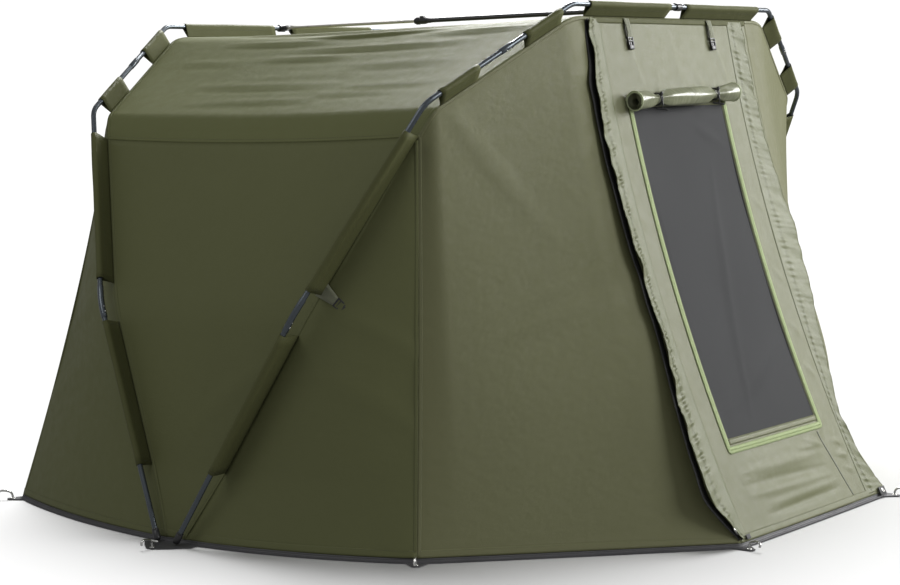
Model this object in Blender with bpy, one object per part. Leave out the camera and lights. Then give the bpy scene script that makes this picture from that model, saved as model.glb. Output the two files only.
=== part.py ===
"""A two-bow bivvy tent: leaning pole bows, a sewn fabric shell hung from them, a door and pegs.

Metres, +Z up. The origin is on the ground midway between the feet, and the door faces -Y.
Left is -X, as seen by somebody who stands in front of the door.
"""

import math

import bmesh
import bpy
from mathutils import Vector

# Driving dimensions of the frame
FOOT_X = 1.4205
POLE_RADIUS = 0.008
FERRULE_RADIUS = 0.0095
FERRULE_LENGTH = 0.045
KNEE_RADIUS = 0.30
SHOULDER_RADIUS = 0.08
POLE_START_Z = 0.040
CAP_RADIUS = 0.0105
CAP_BOTTOM_Z = 0.0090
JOINT_GAP = 0.0003

# Driving dimensions of the shell
FABRIC = 0.002
SLEEVE_RADIUS = 0.010
SLEEVE_STEPS = 9
PLY_REACH = 0.84
TOP_INSET = 0.040
CHAMFER_INSET = 0.048
SEAM_DIP = 0.014
ROOF_SAG = 0.016
DOOR_HALF = 0.46
DOOR_SAG = 0.060
CORNER_SAG = 0.040
HEM_Z = 0.0240
HEM_DIP = 0.012
SEAM_GAP = 0.00075
FOLD_GAP = 0.0017
FLAT_GAP = 0.0004
CORNER_CLIP = 0.006

# Ground corners of the shell, left side, as (x, y)
REAR_CORNER = (-1.185, 0.825)
REAR_MIDDLE = (-0.466, 1.020)
FRONT_CORNER = (-1.205, -0.740)
DOOR_CORNER = (-0.462, -1.335)

# Groundsheet and its peg tabs
FLOOR = 0.003
RIM_TOP_Z = 0.0232
FLOOR_MARGIN = 0.012
TAB_BASE = 0.035
TAB_REACH = 0.048
TAB_TIP = 0.011
HUB_TAB_X = 1.490
PEG_RADIUS = 0.0035
PEG_HOLE_RADIUS = 0.0042

# Window, its zip and its rolled cover, as x on the door and distance down the door
WINDOW_LEFT = -0.310
WINDOW_RIGHT = 0.232
WINDOW_TOP = 0.285
WINDOW_BOTTOM = 1.307
ZIP_MARGIN = 0.027
ZIP_WIDTH = 0.018
ZIP_THICKNESS = 0.0016
ROLL_RADIUS = 0.030
ROLL_NECK = 0.016
ROLL_LEFT = -0.355
ROLL_RIGHT = 0.285
ROLL_DOWN = 0.260
ROLL_TIES = (-0.198, 0.140)
TIE_RADIUS = 0.0025
TIE_POINTS = 10
MESH_GAP = 0.0005
MESH_THICKNESS = 0.0012
ZIP_START = 0.272

# Tension bar between the two bows
BAR_INNER_RADIUS = 0.0050
BAR_OUTER_RADIUS = 0.0075
BAR_CLAMP_RADIUS = 0.0120
BAR_CLAMP_LENGTH = 0.055
BAR_CLAMP_AT = 0.385
COLLAR_RADIUS = 0.0125
COLLAR_BORE = 0.0085
COLLAR_LENGTH = 0.028
BOSS_LENGTH = 0.030

BOSS_RADIUS = 0.0095

# Joints of the poles, as fractions of a straight stretch, and how fast a thick end narrows
KNEE_JOINT = 0.935
KNEE_SWAGE = 0.078
SWAGE_STEP = 0.001

# Storm flaps beside the door: x of the sewn edge and of the free edge, and the flare at the foot
LEFT_FLAP = (-0.425, -0.500)
RIGHT_FLAP = (0.368, 0.428)
FLARE = 0.070
FLARE_HEIGHT = 0.25
FLAP_LIFTS = (0.0, 0.006, 0.014)
FLAP_ENDS = (0.012, 0.985)

# Straps with a buckle, as marks of place, place, gap to the cloth, width and thickness.
# A door strap's place is its distance down the door. The side strap's is its share across
# the panel beside the front leg, and its height.
DOOR_STRAPS = (-0.280, 0.218)
DOOR_STRAP_PROFILE = (
    (0.010, 0.0, 0.028, 0.003),
    (0.032, 0.006, 0.026, 0.003),
    (0.061, 0.004, 0.022, 0.003),
    (0.064, 0.002, 0.030, 0.009),
    (0.102, 0.001, 0.030, 0.009),
    (0.106, 0.001, 0.020, 0.005),
)
SIDE_STRAP_PROFILE = (
    (0.03, 0.735, 0.0, 0.050, 0.003),
    (0.16, 0.720, 0.004, 0.034, 0.003),
    (0.28, 0.705, 0.006, 0.026, 0.003),
    (0.29, 0.704, 0.003, 0.032, 0.010),
    (0.41, 0.690, 0.002, 0.032, 0.010),
    (0.42, 0.689, 0.002, 0.022, 0.006),
)

# Pegs, as marks of reach outwards and height above the ground
PEG_CORNERS = {
    "rear_middle": REAR_MIDDLE,
    "rear_corner": REAR_CORNER,
    "front_corner": FRONT_CORNER,
    "door_corner": DOOR_CORNER,
}
PEG_PROFILE = ((0.0, 0.0004), (0.0, 0.010), (0.010, 0.024), (0.030, 0.030), (0.044, 0.024))

# Stretches of pole that run in sleeves, as fractions of a straight stretch of the bow
LOWER_SLEEVE = (0.32, 0.92)
UPPER_SLEEVE = (0.12, 0.87)
LOWER_TAB = (0.10, 0.35)
UPPER_TAB = (0.67, 0.92)
TOP_SLEEVE = (0.145, 0.92)
LEG_LOW, LEG_HIGH, CHAMFER, TOP = range(4)

# How finely the cloth is divided, and how far its corners stop short of a seam's end
ROOF_ROWS = 8
WALL_ROWS = 6
WALL_COLUMNS = 5
HEM_POINTS = 4
DOOR_MARK = 10
APEX = 0.011


def clear_scene():
    for obj in list(bpy.data.objects):
        bpy.data.objects.remove(obj, do_unlink=True)


def finish(name, color, roughness, metallic=0.0):
    """A plain painted, plastic, metal or cloth finish."""
    material = bpy.data.materials.get(name) or bpy.data.materials.new(name)
    material.use_nodes = True
    shader = material.node_tree.nodes["Principled BSDF"]
    shader.inputs["Base Color"].default_value = (*color, 1.0)
    shader.inputs["Roughness"].default_value = roughness
    shader.inputs["Metallic"].default_value = metallic
    return material


def own_finish(kind, name):
    """The finish of one piece, named after it."""
    color, roughness, metallic = FINISHES[kind]
    return finish(name + "_finish", color, roughness, metallic)


FINISHES = {
    "tube": ((0.055, 0.065, 0.075), 0.25, 0.9),
    "bar": ((0.55, 0.53, 0.48), 0.35, 0.8),
    "plastic": ((0.012, 0.012, 0.013), 0.45, 0.0),
    "roof": ((0.115, 0.125, 0.065), 0.60, 0.0),
    "wall": ((0.060, 0.065, 0.032), 0.65, 0.0),
    "door": ((0.210, 0.215, 0.140), 0.60, 0.0),
    "mesh": ((0.050, 0.050, 0.055), 0.80, 0.0),
    "zip": ((0.330, 0.480, 0.240), 0.60, 0.0),
    "sheet": ((0.050, 0.050, 0.052), 0.55, 0.0),
    "peg": ((0.500, 0.500, 0.480), 0.30, 1.0),
}


def shown(name, mesh, kind):
    """Puts a mesh or curve in the scene as a named piece."""
    obj = bpy.data.objects.new(name, mesh)
    bpy.context.scene.collection.objects.link(obj)
    mesh.materials.append(own_finish(kind, name))
    return obj


def mesh_from(bm, name):
    mesh = bpy.data.meshes.new(name)
    bm.to_mesh(mesh)
    bm.free()
    return mesh


def bar(name, points, radius, kind, sides=12, radii=None, closed=False):
    """A round bar along points; radii scales the radius at each of them."""
    curve = bpy.data.curves.new(name, "CURVE")
    curve.dimensions = "3D"
    curve.bevel_depth = radius
    curve.bevel_resolution = sides // 2 - 2
    curve.use_fill_caps = True
    spline = curve.splines.new("POLY")
    spline.points.add(len(points) - 1)
    for i, point in enumerate(points):
        spline.points[i].co = (*point, 1.0)
        spline.points[i].radius = radii[i] if radii else 1.0
    spline.use_cyclic_u = closed
    return shown(name, curve, kind)


def hidden(obj):
    """Marks a cutter or a guide, which is no piece of the tent."""
    obj.hide_render = True
    obj.display_type = "WIRE"
    return obj


def boolean(obj, other, operation):
    modifier = obj.modifiers.new(operation.title(), "BOOLEAN")
    modifier.operation = operation
    modifier.solver = "EXACT"
    modifier.object = hidden(other)


def arc(before, corner, after, radius, steps):
    """Points of a bend of the given radius that rounds off a corner."""
    into = (corner - before).normalized()
    out = (after - corner).normalized()
    half = into.angle(out) / 2
    reach = radius * math.tan(half)
    start = corner - into * reach
    centre_way = (out - into).normalized()
    centre = corner + centre_way * (radius / math.cos(half))
    arm = start - centre
    axis = into.cross(out).normalized()
    bend = []
    for step in range(steps + 1):
        angle = 2 * half * step / steps
        turned = arm * math.cos(angle) + axis.cross(arm) * math.sin(angle)
        bend.append(centre + turned)
    return bend


def hermite(start, start_way, end, end_way, t):
    """A smooth curve between two points that leaves and arrives in given directions."""
    span = (end - start).length
    a = 2 * t**3 - 3 * t**2 + 1
    b = t**3 - 2 * t**2 + t
    c = -2 * t**3 + 3 * t**2
    d = t**3 - t**2
    return start * a + start_way * (span * b) + end * c + end_way * (span * d)


class Station:
    """A place along a bow: the pole's axis there, the shell's seam below it, and their direction."""

    def __init__(self, pole, seam, way, stretch):
        self.pole = pole
        self.seam = seam
        self.way = way
        self.stretch = stretch


class Bow:
    """A U of pole in a leaning plane, with the seam line of the shell that hangs inside it."""

    def __init__(self, name, facing, foot_y, knee, shoulder, top, top_y, leg_insets):
        self.name = name
        self.facing = facing
        self.foot_y = foot_y
        self.top_half = top[0]
        self.leg_insets = leg_insets
        self.rise = Vector((0.0, top_y - foot_y, top[1])).normalized()
        self.outward = Vector((0.0, facing * self.rise.z, -facing * self.rise.y))
        heights = [(FOOT_X, 0.0), knee, shoulder, top, (0.0, top[1])]
        self.corners = [self.place(-x, z / self.rise.z) for x, z in heights]

    def place(self, x, along):
        """The point at x, this far up the leaning plane."""
        return Vector((x, self.foot_y, 0.0)) + self.rise * along

    def pole_at(self, stretch, t):
        return self.corners[stretch].lerp(self.corners[stretch + 1], t)

    def way(self, stretch):
        return (self.corners[stretch + 1] - self.corners[stretch]).normalized()

    def inward(self, stretch):
        """From the pole towards the shell, square to the pole and in the bow's plane."""
        across = self.outward.cross(self.way(stretch)).normalized()
        towards_middle = Vector((1.0, 0.0, -1.0))
        return across if across.dot(towards_middle) > 0 else -across

    def inset(self, stretch, t):
        low, high = self.leg_insets
        if stretch == LEG_LOW:
            return low + (high - low) * t / 2
        if stretch == LEG_HIGH:
            return low + (high - low) * (1 + t) / 2
        return CHAMFER_INSET if stretch == CHAMFER else TOP_INSET

    def station(self, stretch, t):
        pole = self.pole_at(stretch, t)
        seam = pole + self.inward(stretch) * self.inset(stretch, t)
        return Station(pole, seam, self.way(stretch), stretch)

    def pole_path(self):
        """The pole's axis from the left foot to the middle of the top, with its bends."""
        knee = arc(*self.corners[0:3], KNEE_RADIUS, 3)
        shoulder = arc(*self.corners[1:4], SHOULDER_RADIUS, 5)
        corner = arc(*self.corners[2:5], SHOULDER_RADIUS, 5)
        return knee, shoulder, corner


REAR = Bow(
    "rear",
    facing=1,
    foot_y=0.028,
    knee=(1.312, 0.671),
    shoulder=(1.058, 1.2365),
    top=(0.586, 1.5023),
    top_y=0.7602,
    leg_insets=(0.056, 0.054),
)
FRONT = Bow(
    "front",
    facing=-1,
    foot_y=-0.032,
    knee=(1.308, 0.6805),
    shoulder=(1.109, 1.274),
    top=(0.596, 1.5554),
    top_y=-0.8528,
    leg_insets=(0.088, 0.062),
)


def mirrored(point):
    return Vector((-point.x, point.y, point.z))


def on_side(point, side):
    return point if side == "left" else mirrored(point)


def between(first, second, count):
    """count stations from first up to, but not including, second."""
    found = []
    for i in range(count):
        t = i / count
        if first.stretch == second.stretch:
            seam = first.seam.lerp(second.seam, t)
        else:
            seam = hermite(first.seam, first.way, second.seam, second.way, t)
        pole = first.pole.lerp(second.pole, t)
        found.append(Station(pole, seam, first.way.lerp(second.way, t), first.stretch))
    return found


def arch_stations(bow):
    """Stations from the side seam to the middle of the top, and the spans that carry a sleeve."""
    door_at = 1 - DOOR_HALF / bow.top_half
    marks = [
        (bow.station(LEG_HIGH, UPPER_SLEEVE[1]), 3, False),
        (bow.station(CHAMFER, LOWER_TAB[0]), 1, True),
        (bow.station(CHAMFER, LOWER_TAB[1]), 1, False),
        (bow.station(CHAMFER, UPPER_TAB[0]), 1, True),
        (bow.station(CHAMFER, UPPER_TAB[1]), 3, False),
        (bow.station(TOP, TOP_SLEEVE[0]), 1, True),
        (bow.station(TOP, door_at), 2, True),
        (bow.station(TOP, TOP_SLEEVE[1]), 1, False),
        (bow.station(TOP, 1.0), 0, False),
    ]
    return spread(marks)


def leg_stations(bow):
    """Stations from the hem up to the side seam, and the spans that carry a sleeve."""
    start = (HEM_Z - bow.inward(LEG_LOW).z * bow.leg_insets[0]) / bow.corners[1].z
    marks = [
        (bow.station(LEG_LOW, start), 2, False),
        (bow.station(LEG_LOW, LOWER_SLEEVE[0]), 2, True),
        (bow.station(LEG_LOW, LOWER_SLEEVE[1]), 1, False),
        (bow.station(LEG_HIGH, UPPER_SLEEVE[0]), 3, True),
        (bow.station(LEG_HIGH, UPPER_SLEEVE[1]), 0, False),
    ]
    return spread(marks)


def spread(marks):
    stations = []
    sleeved = []
    for (first, count, sleeve), (second, _, _) in zip(marks, marks[1:]):
        sleeved += [sleeve] * count
        stations += between(first, second, count)
    return stations + [marks[-1][0]], sleeved


def with_mirror(stations, sleeved):
    """The left half and its mirror image, from left to right."""
    right = []
    for one in reversed(stations[:-1]):
        way = Vector((one.way.x, -one.way.y, -one.way.z))
        right.append(Station(mirrored(one.pole), mirrored(one.seam), way, one.stretch))
    return stations + right, sleeved + sleeved[::-1]


def fractions(points):
    """How far along a row of points each of them is, from 0 to 1."""
    lengths = [(b - a).length for a, b in zip(points, points[1:])]
    total = sum(lengths)
    return [sum(lengths[:i]) / total for i in range(len(points))]


def evenly(count):
    return [i / count for i in range(count + 1)]


def sagging(start, end, sag, places):
    """Points at the given places from start to end, which bow by the vector sag at mid-length."""
    return [start.lerp(end, t) + sag * (4 * t * (1 - t)) for t in places]


def hem_point(corner):
    return Vector((corner[0], corner[1], HEM_Z))


DOOR_TOP = FRONT.station(TOP, 1.0).seam
DOOR_DROP = (DOOR_TOP - hem_point((0.0, DOOR_CORNER[1]))).length


def height_at(down):
    """How high on the door a place is, from 0 to 1, for a distance down from the bow."""
    return 1 - down / DOOR_DROP


def shares(start, end, count):
    return [start + (end - start) * k / count for k in range(count)]


# Rows that the door shares with the seams beside it, and the door's own columns
SEAM_HEIGHTS = shares(0.0, height_at(WINDOW_BOTTOM), 2)
SEAM_HEIGHTS += shares(height_at(WINDOW_BOTTOM), height_at(WINDOW_TOP), 4)
SEAM_HEIGHTS += shares(height_at(WINDOW_TOP), 1.0, 2) + [1.0]
DOOR_COLUMNS = [-DOOR_HALF, -0.385, WINDOW_LEFT, -0.13, 0.05, WINDOW_RIGHT, 0.33, DOOR_HALF]


def along(points, wanted):
    """Points at the wanted fractions of a row of points."""
    known = fractions(points)
    found = []
    for t in wanted:
        i = max(j for j in range(len(known) - 1) if known[j] <= t + 1e-9)
        share = (t - known[i]) / (known[i + 1] - known[i])
        found.append(points[i].lerp(points[i + 1], min(share, 1.0)))
    return found


def coons(bottom, top, left, right):
    """A grid of points, grid[column][row], stretched between four rows of points."""
    across = fractions(top)
    heights = fractions(left)
    bottom = along(bottom, across)
    grid = []
    for i, u in enumerate(across):
        column = []
        for j, v in enumerate(heights):
            ruled = bottom[i].lerp(top[i], v) + left[j].lerp(right[j], u)
            low = bottom[0].lerp(bottom[-1], u)
            high = top[0].lerp(top[-1], u)
            column.append(ruled - low.lerp(high, v))
        grid.append(column)
    return grid


def trim(grid, left=0.0, right=0.0, low=0.0, high=0.0):
    """Draws the edges of a grid in by the given amounts, so that it ends short of its seams."""
    def drawn(point, inner, amount):
        return point + (inner - point).normalized() * amount if amount else point

    for j in range(len(grid[0])):
        grid[0][j] = drawn(grid[0][j], grid[1][j], left)
        grid[-1][j] = drawn(grid[-1][j], grid[-2][j], right)
    for column in grid:
        column[0] = drawn(column[0], column[1], low)
        column[-1] = drawn(column[-1], column[-2], high)
    return grid


def sleeve_path(station, roofward):
    """From the seam up one side of the pole, round it and part of the way back down."""
    pole, seam = station.pole, station.seam
    up = (pole - seam).normalized()
    reach = (pole - seam).length
    touch = math.acos(SLEEVE_RADIUS / reach)
    path = []
    for step in range(SLEEVE_STEPS + 1):
        angle = touch + (2 * math.pi - 2 * touch) * step / SLEEVE_STEPS
        turned = -up * math.cos(angle) + roofward * math.sin(angle)
        path.append(pole + turned * SLEEVE_RADIUS)
    path.append(path[-1].lerp(seam, PLY_REACH))
    return path


class Sleeve:
    """Pole sleeves that grow from one edge of a sheet: a path for each point of the edge."""

    def __init__(self, edge, stations, sleeved, roofward, mirror=False):
        self.edge = edge
        self.sleeved = sleeved
        self.paths = [sleeve_path(one, roofward) for one in stations]
        if mirror:
            self.paths = [[mirrored(p) for p in path] for path in self.paths]


def sheet(name, grid, kind, sleeves=(), hole=None, thickness=FABRIC):
    """A cloth panel over a grid of points, with sleeves on its edges and perhaps a hole."""
    columns, rows = len(grid) - 1, len(grid[0]) - 1
    bm = bmesh.new()
    place = bm.verts.layers.int.new("place")
    bmesh.ops.create_grid(bm, x_segments=columns, y_segments=rows, size=1.0)
    seats = {}
    for vert in bm.verts:
        i = round((vert.co.x + 1) / 2 * columns)
        j = round((vert.co.y + 1) / 2 * rows)
        seats[i, j] = vert
        vert[place] = i * 1000 + j
    for (i, j), vert in seats.items():
        vert.co = grid[i][j]
    if hole:
        cut_hole(bm, seats, hole)
    for sleeve in sleeves:
        grow_sleeve(bm, seats, place, sleeve, columns, rows)
    bmesh.ops.recalc_face_normals(bm, faces=bm.faces)
    mesh = mesh_from(bm, name)
    mesh.shade_smooth()
    obj = shown(name, mesh, kind)
    wall = obj.modifiers.new("Cloth thickness", "SOLIDIFY")
    wall.thickness = thickness
    wall.offset = 0.0
    wall.use_even_offset = True
    wall.use_quality_normals = True
    return obj


def cut_hole(bm, seats, hole):
    """Removes the cells of the grid that lie in hole: its columns and its rows, ends included."""
    (i0, i1), (j0, j1) = hole
    wanted = []
    for face in bm.faces:
        inside = [
            seat
            for seat, vert in seats.items()
            if vert in face.verts and i0 <= seat[0] <= i1 and j0 <= seat[1] <= j1
        ]
        if len(inside) == len(face.verts):
            wanted.append(face)
    bmesh.ops.delete(bm, geom=wanted, context="FACES")


def grow_sleeve(bm, seats, place, sleeve, columns, rows):
    """Extrudes an edge of the sheet, span by span, along the sleeve's paths."""
    if sleeve.edge in ("low", "high"):
        row = 0 if sleeve.edge == "low" else rows
        border = [seats[i, row] for i in range(columns + 1)]
    else:
        column = 0 if sleeve.edge == "left" else columns
        border = [seats[column, j] for j in range(rows + 1)]
    number = {vert[place]: k for k, vert in enumerate(border)}
    edges = []
    for k, wanted in enumerate(sleeve.sleeved):
        if wanted:
            edges.append(bm.edges.get((border[k], border[k + 1])))
    for step in range(len(sleeve.paths[0])):
        grown = bmesh.ops.extrude_edge_only(bm, edges=edges)["geom"]
        fresh = {part for part in grown if isinstance(part, bmesh.types.BMVert)}
        for vert in fresh:
            vert.co = sleeve.paths[number[vert[place]]][step]
        parts = [part for part in grown if isinstance(part, bmesh.types.BMEdge)]
        edges = [part for part in parts if set(part.verts) <= fresh]


def seam_row(left_end, right_end, count):
    """The side seam between roof and side wall, which dips at mid-length."""
    return sagging(left_end, right_end, Vector((0.0, 0.0, -SEAM_DIP)), evenly(count))


def build_roof():
    rear, sleeved = with_mirror(*arch_stations(REAR))
    front, _ = with_mirror(*arch_stations(FRONT))
    middle = Vector((0.0, 0.0, 0.9))
    grid = []
    for back, fore in zip(rear, front):
        inward = (middle - back.seam.lerp(fore.seam, 0.5)).normalized()
        share = abs(inward.z)
        dip = inward * (ROOF_SAG * share) + Vector((0.0, 0.0, -SEAM_DIP)) * (1 - share)
        grid.append(sagging(back.seam, fore.seam, dip, evenly(ROOF_ROWS)))
    edge = seam_row(rear[0].seam, front[0].seam, ROOF_ROWS)
    grid[0] = edge
    grid[-1] = [mirrored(p) for p in edge]
    trim(grid, left=FLAT_GAP, right=FLAT_GAP)
    sleeves = (
        Sleeve("low", rear, sleeved, -REAR.outward),
        Sleeve("high", front, sleeved, -FRONT.outward),
    )
    return sheet("roof", grid, "roof", sleeves)


def build_side_wall(side):
    rear, sleeved = leg_stations(REAR)
    front, _ = leg_stations(FRONT)
    bottom = sagging(rear[0].seam, front[0].seam, Vector(), evenly(WALL_ROWS))
    top = seam_row(rear[-1].seam, front[-1].seam, WALL_ROWS)
    grid = coons(bottom, top, [one.seam for one in rear], [one.seam for one in front])
    trim(grid, high=FLAT_GAP)
    grid = [[on_side(p, side) for p in column] for column in grid]
    flip = side == "right"
    sleeves = (
        Sleeve("left", rear, sleeved, -REAR.outward, flip),
        Sleeve("right", front, sleeved, -FRONT.outward, flip),
    )
    return sheet("side_wall_" + side, grid, "wall", sleeves)


def corner_seam(top, corner, sag, inward):
    """A corner seam from the hem up to the bow, which the cloth beside it draws inwards."""
    return sagging(hem_point(corner), top, inward * sag, SEAM_HEIGHTS)


def inward_at(corner):
    return Vector((-corner[0], -corner[1], 0.0)).normalized()


def hem_row(start, end, count):
    """A stretch of hem, slightly hollow between the pegs at its ends."""
    way = (end - start).normalized()
    across = Vector((-way.y, way.x, 0.0))
    if across.dot(inward_at(start.lerp(end, 0.5))) < 0:
        across = -across
    return sagging(start, end, across * HEM_DIP, evenly(count))


def build_leg_wall(name, bow, corner, side):
    """The three-cornered panel between a leg of a bow, a corner seam and the ground."""
    grid = [[on_side(p, side) for p in column] for column in leg_wall_grid(bow, corner)]
    return sheet(name + "_" + side, grid, "wall")


def leg_wall_grid(bow, corner):
    stations, _ = leg_stations(bow)
    leg = [one.seam for one in stations]
    heights = fractions(leg)
    seam = sagging(hem_point(corner), leg[-1], inward_at(corner) * CORNER_SAG, heights)
    hem = hem_row(leg[0], hem_point(corner), WALL_COLUMNS)
    share = APEX / (leg[-1] - leg[-2]).length
    leg[-1] = leg[-1].lerp(leg[-2], share)
    seam[-1] = seam[-1].lerp(seam[-2], share)
    top = sagging(leg[-1], seam[-1], Vector(), evenly(WALL_COLUMNS))
    return trim(coons(hem, top, leg, seam), left=FOLD_GAP, right=SEAM_GAP)


def chamfer_grid(bow, corner, middle):
    """The panel between a corner seam and the seam that falls from the top of the bow."""
    stations, _ = arch_stations(bow)
    top = [one.seam for one in stations[: DOOR_MARK + 1]]
    outer = corner_seam(top[0], corner, CORNER_SAG, inward_at(corner))
    inner = corner_seam(top[-1], middle, DOOR_SAG, Vector((0.0, -bow.facing, 0.0)))
    hem = hem_row(hem_point(corner), hem_point(middle), len(top) - 1)
    return coons(hem, top, outer, inner)


def build_rear_wall():
    """Three facets, sewn at two seams that run from the bow's corners to the rear pegs."""
    left = chamfer_grid(REAR, REAR_CORNER, REAR_MIDDLE)
    stations, _ = with_mirror(*arch_stations(REAR))
    top = [one.seam for one in stations[DOOR_MARK : len(stations) - DOOR_MARK]]
    start, end = hem_point(REAR_MIDDLE), mirrored(hem_point(REAR_MIDDLE))
    hem = hem_row(start, end, len(top) - 1)
    middle = coons(hem, top, left[-1], [mirrored(p) for p in left[-1]])
    right = [[mirrored(p) for p in column] for column in reversed(left)]
    grid = left[:-1] + middle + right[1:]
    trim(grid, left=SEAM_GAP, right=SEAM_GAP, high=FOLD_GAP)
    clip_corner(grid[0], grid[1])
    clip_corner(grid[-1], grid[-2])
    return sheet("rear_wall", grid, "wall")


def clip_corner(column, inner):
    """Draws a top corner back from the panels that meet it there."""
    column[-1] = column[-1] + (inner[-2] - column[-1]).normalized() * CORNER_CLIP


def build_front_panel(side):
    grid = chamfer_grid(FRONT, FRONT_CORNER, DOOR_CORNER)
    trim(grid, left=SEAM_GAP, right=SEAM_GAP, high=FOLD_GAP)
    clip_corner(grid[0], grid[1])
    grid = [[on_side(p, side) for p in column] for column in grid]
    return sheet("front_panel_" + side, grid, "wall")


def door_exact(x, height):
    """A point of the door's cloth: x across, height from 0 at the hem to 1 at the bow."""
    share = x / DOOR_HALF
    foot = Vector((-DOOR_CORNER[0] * share, DOOR_CORNER[1], HEM_Z))
    foot.y += HEM_DIP * (1 - share * share)
    top = Vector((x, DOOR_TOP.y, DOOR_TOP.z))
    sag = Vector((0.0, DOOR_SAG * 4 * height * (1 - height), 0.0))
    return foot.lerp(top, height) + sag


def door_point(x, height, lift=0.0):
    """A point over the door's flat cells, raised outwards by lift."""
    i = max(k for k in range(len(SEAM_HEIGHTS) - 1) if SEAM_HEIGHTS[k] <= height + 1e-9)
    low, high = SEAM_HEIGHTS[i], SEAM_HEIGHTS[i + 1]
    flat = door_exact(x, low).lerp(door_exact(x, high), (height - low) / (high - low))
    rise = door_exact(x, height + 0.01) - door_exact(x, height - 0.01)
    return flat + Vector((1.0, 0.0, 0.0)).cross(rise).normalized() * lift


def build_door():
    grid = [[door_point(x, height) for height in SEAM_HEIGHTS] for x in DOOR_COLUMNS]
    trim(grid, left=SEAM_GAP, right=SEAM_GAP, high=FOLD_GAP)
    hole = [DOOR_COLUMNS.index(x) for x in (WINDOW_LEFT, WINDOW_RIGHT)]
    rows = [SEAM_HEIGHTS.index(height_at(down)) for down in (WINDOW_BOTTOM, WINDOW_TOP)]
    return sheet("door_panel", grid, "door", hole=(hole, rows))


def build_window():
    """The mesh that closes the window, and the zip that runs down, across and up round it."""
    columns = [x for x in DOOR_COLUMNS if WINDOW_LEFT <= x <= WINDOW_RIGHT]
    low, high = height_at(WINDOW_BOTTOM), height_at(WINDOW_TOP)
    rows = [height for height in SEAM_HEIGHTS if low <= height <= high]
    grid = [[door_point(x, height) for height in rows] for x in columns]
    trim(grid, MESH_GAP, MESH_GAP, MESH_GAP, MESH_GAP)
    sheet("window_mesh", grid, "mesh", thickness=MESH_THICKNESS)
    lift = FABRIC / 2 + JOINT_GAP + ZIP_THICKNESS / 2
    start = height_at(ZIP_START)
    edges = []
    for margin in (ZIP_MARGIN + ZIP_WIDTH / 2, ZIP_MARGIN - ZIP_WIDTH / 2):
        left, right = WINDOW_LEFT - margin, WINDOW_RIGHT + margin
        foot = height_at(WINDOW_BOTTOM + margin)
        climb = [foot] + [height for height in SEAM_HEIGHTS if foot < height < start] + [start]
        row = [door_point(left, height, lift) for height in reversed(climb)]
        row += [door_point(right, height, lift) for height in climb]
        edges.append(row)
    sheet("window_zip", [list(pair) for pair in zip(*edges)], "zip", thickness=ZIP_THICKNESS)


def build_window_cover():
    """The window's rolled cover, drawn in where two ties hold it."""
    lift = FABRIC / 2 + JOINT_GAP + ROLL_RADIUS
    height = height_at(ROLL_DOWN)
    tie_left, tie_right = ROLL_TIES
    marks = [(ROLL_LEFT, 0.96), (ROLL_LEFT + 0.02, 1.0), (tie_left - 0.05, 0.97)]
    marks += [(tie_left, ROLL_NECK / ROLL_RADIUS), (tie_left + 0.06, 0.92)]
    marks += [((tie_left + tie_right) / 2, 1.0), (tie_right - 0.06, 0.92)]
    marks += [(tie_right, ROLL_NECK / ROLL_RADIUS), (tie_right + 0.05, 0.97)]
    marks += [(ROLL_RIGHT - 0.02, 1.0), (ROLL_RIGHT, 0.96)]
    points = [door_point(x, height, lift) for x, _ in marks]
    bar("window_cover_roll", points, ROLL_RADIUS, "door", radii=[scale for _, scale in marks])
    for side, x in (("left", tie_left), ("right", tie_right)):
        centre = door_point(x, height, lift)
        reach = (ROLL_NECK + TIE_RADIUS + FLAT_GAP) / math.cos(math.pi / TIE_POINTS)
        ring = []
        for k in range(TIE_POINTS):
            angle = 2 * math.pi * k / TIE_POINTS
            ring.append(centre + Vector((0.0, math.cos(angle), math.sin(angle))) * reach)
        bar("window_cover_tie_" + side, ring, TIE_RADIUS, "plastic", sides=8, closed=True)


def build_storm_flap(side, sewn, free, flare):
    """A strip sewn beside the door's zip, whose free edge stands off the cloth."""
    rows = [FLAP_ENDS[0]] + SEAM_HEIGHTS[1:-1] + [FLAP_ENDS[1]]
    grid = []
    for share, lift in zip(evenly(len(FLAP_LIFTS) - 1), FLAP_LIFTS):
        column = []
        for height in rows:
            edge = free + flare * max(0.0, 1 - height / FLARE_HEIGHT)
            x = sewn + (edge - sewn) * share
            column.append(door_point(x, height, FABRIC + JOINT_GAP + lift))
        grid.append(column)
    return sheet("storm_flap_" + side, grid, "door")


def loft(name, rings, kind):
    """A solid through four-cornered rings, one after another, with both ends closed."""
    bm = bmesh.new()
    corner = bm.verts.layers.int.new("corner")
    verts = [bm.verts.new(point) for point in rings[0]]
    for k, vert in enumerate(verts):
        vert[corner] = k
    face = bm.faces.new(verts)
    for ring in rings[1:]:
        grown = bmesh.ops.extrude_face_region(bm, geom=[face, *face.edges])["geom"]
        for part in grown:
            if isinstance(part, bmesh.types.BMVert):
                part.co = ring[part[corner]]
        face = next(part for part in grown if isinstance(part, bmesh.types.BMFace))
    bmesh.ops.recalc_face_normals(bm, faces=bm.faces)
    return shown(name, mesh_from(bm, name), kind)


def strap(name, marks, across, out):
    """A strap that ends in a buckle: marks of (centre, width, thickness)."""
    rings = []
    for centre, width, thick in marks:
        side, lift = across * (width / 2), out * (thick / 2)
        low, high = centre - lift, centre + lift
        rings.append([low - side, low + side, high + side, high - side])
    return loft(name, rings, "plastic")


def build_door_strap(side, x):
    across = Vector((1.0, 0.0, 0.0))
    out = across.cross(door_exact(x, 1.0) - door_exact(x, 0.9)).normalized()
    marks = []
    for down, gap, width, thick in DOOR_STRAP_PROFILE:
        lift = FABRIC / 2 + JOINT_GAP + gap + thick / 2
        marks.append((door_point(x, height_at(down), lift), width, thick))
    return strap("door_strap_" + side, marks, across, out)


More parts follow.
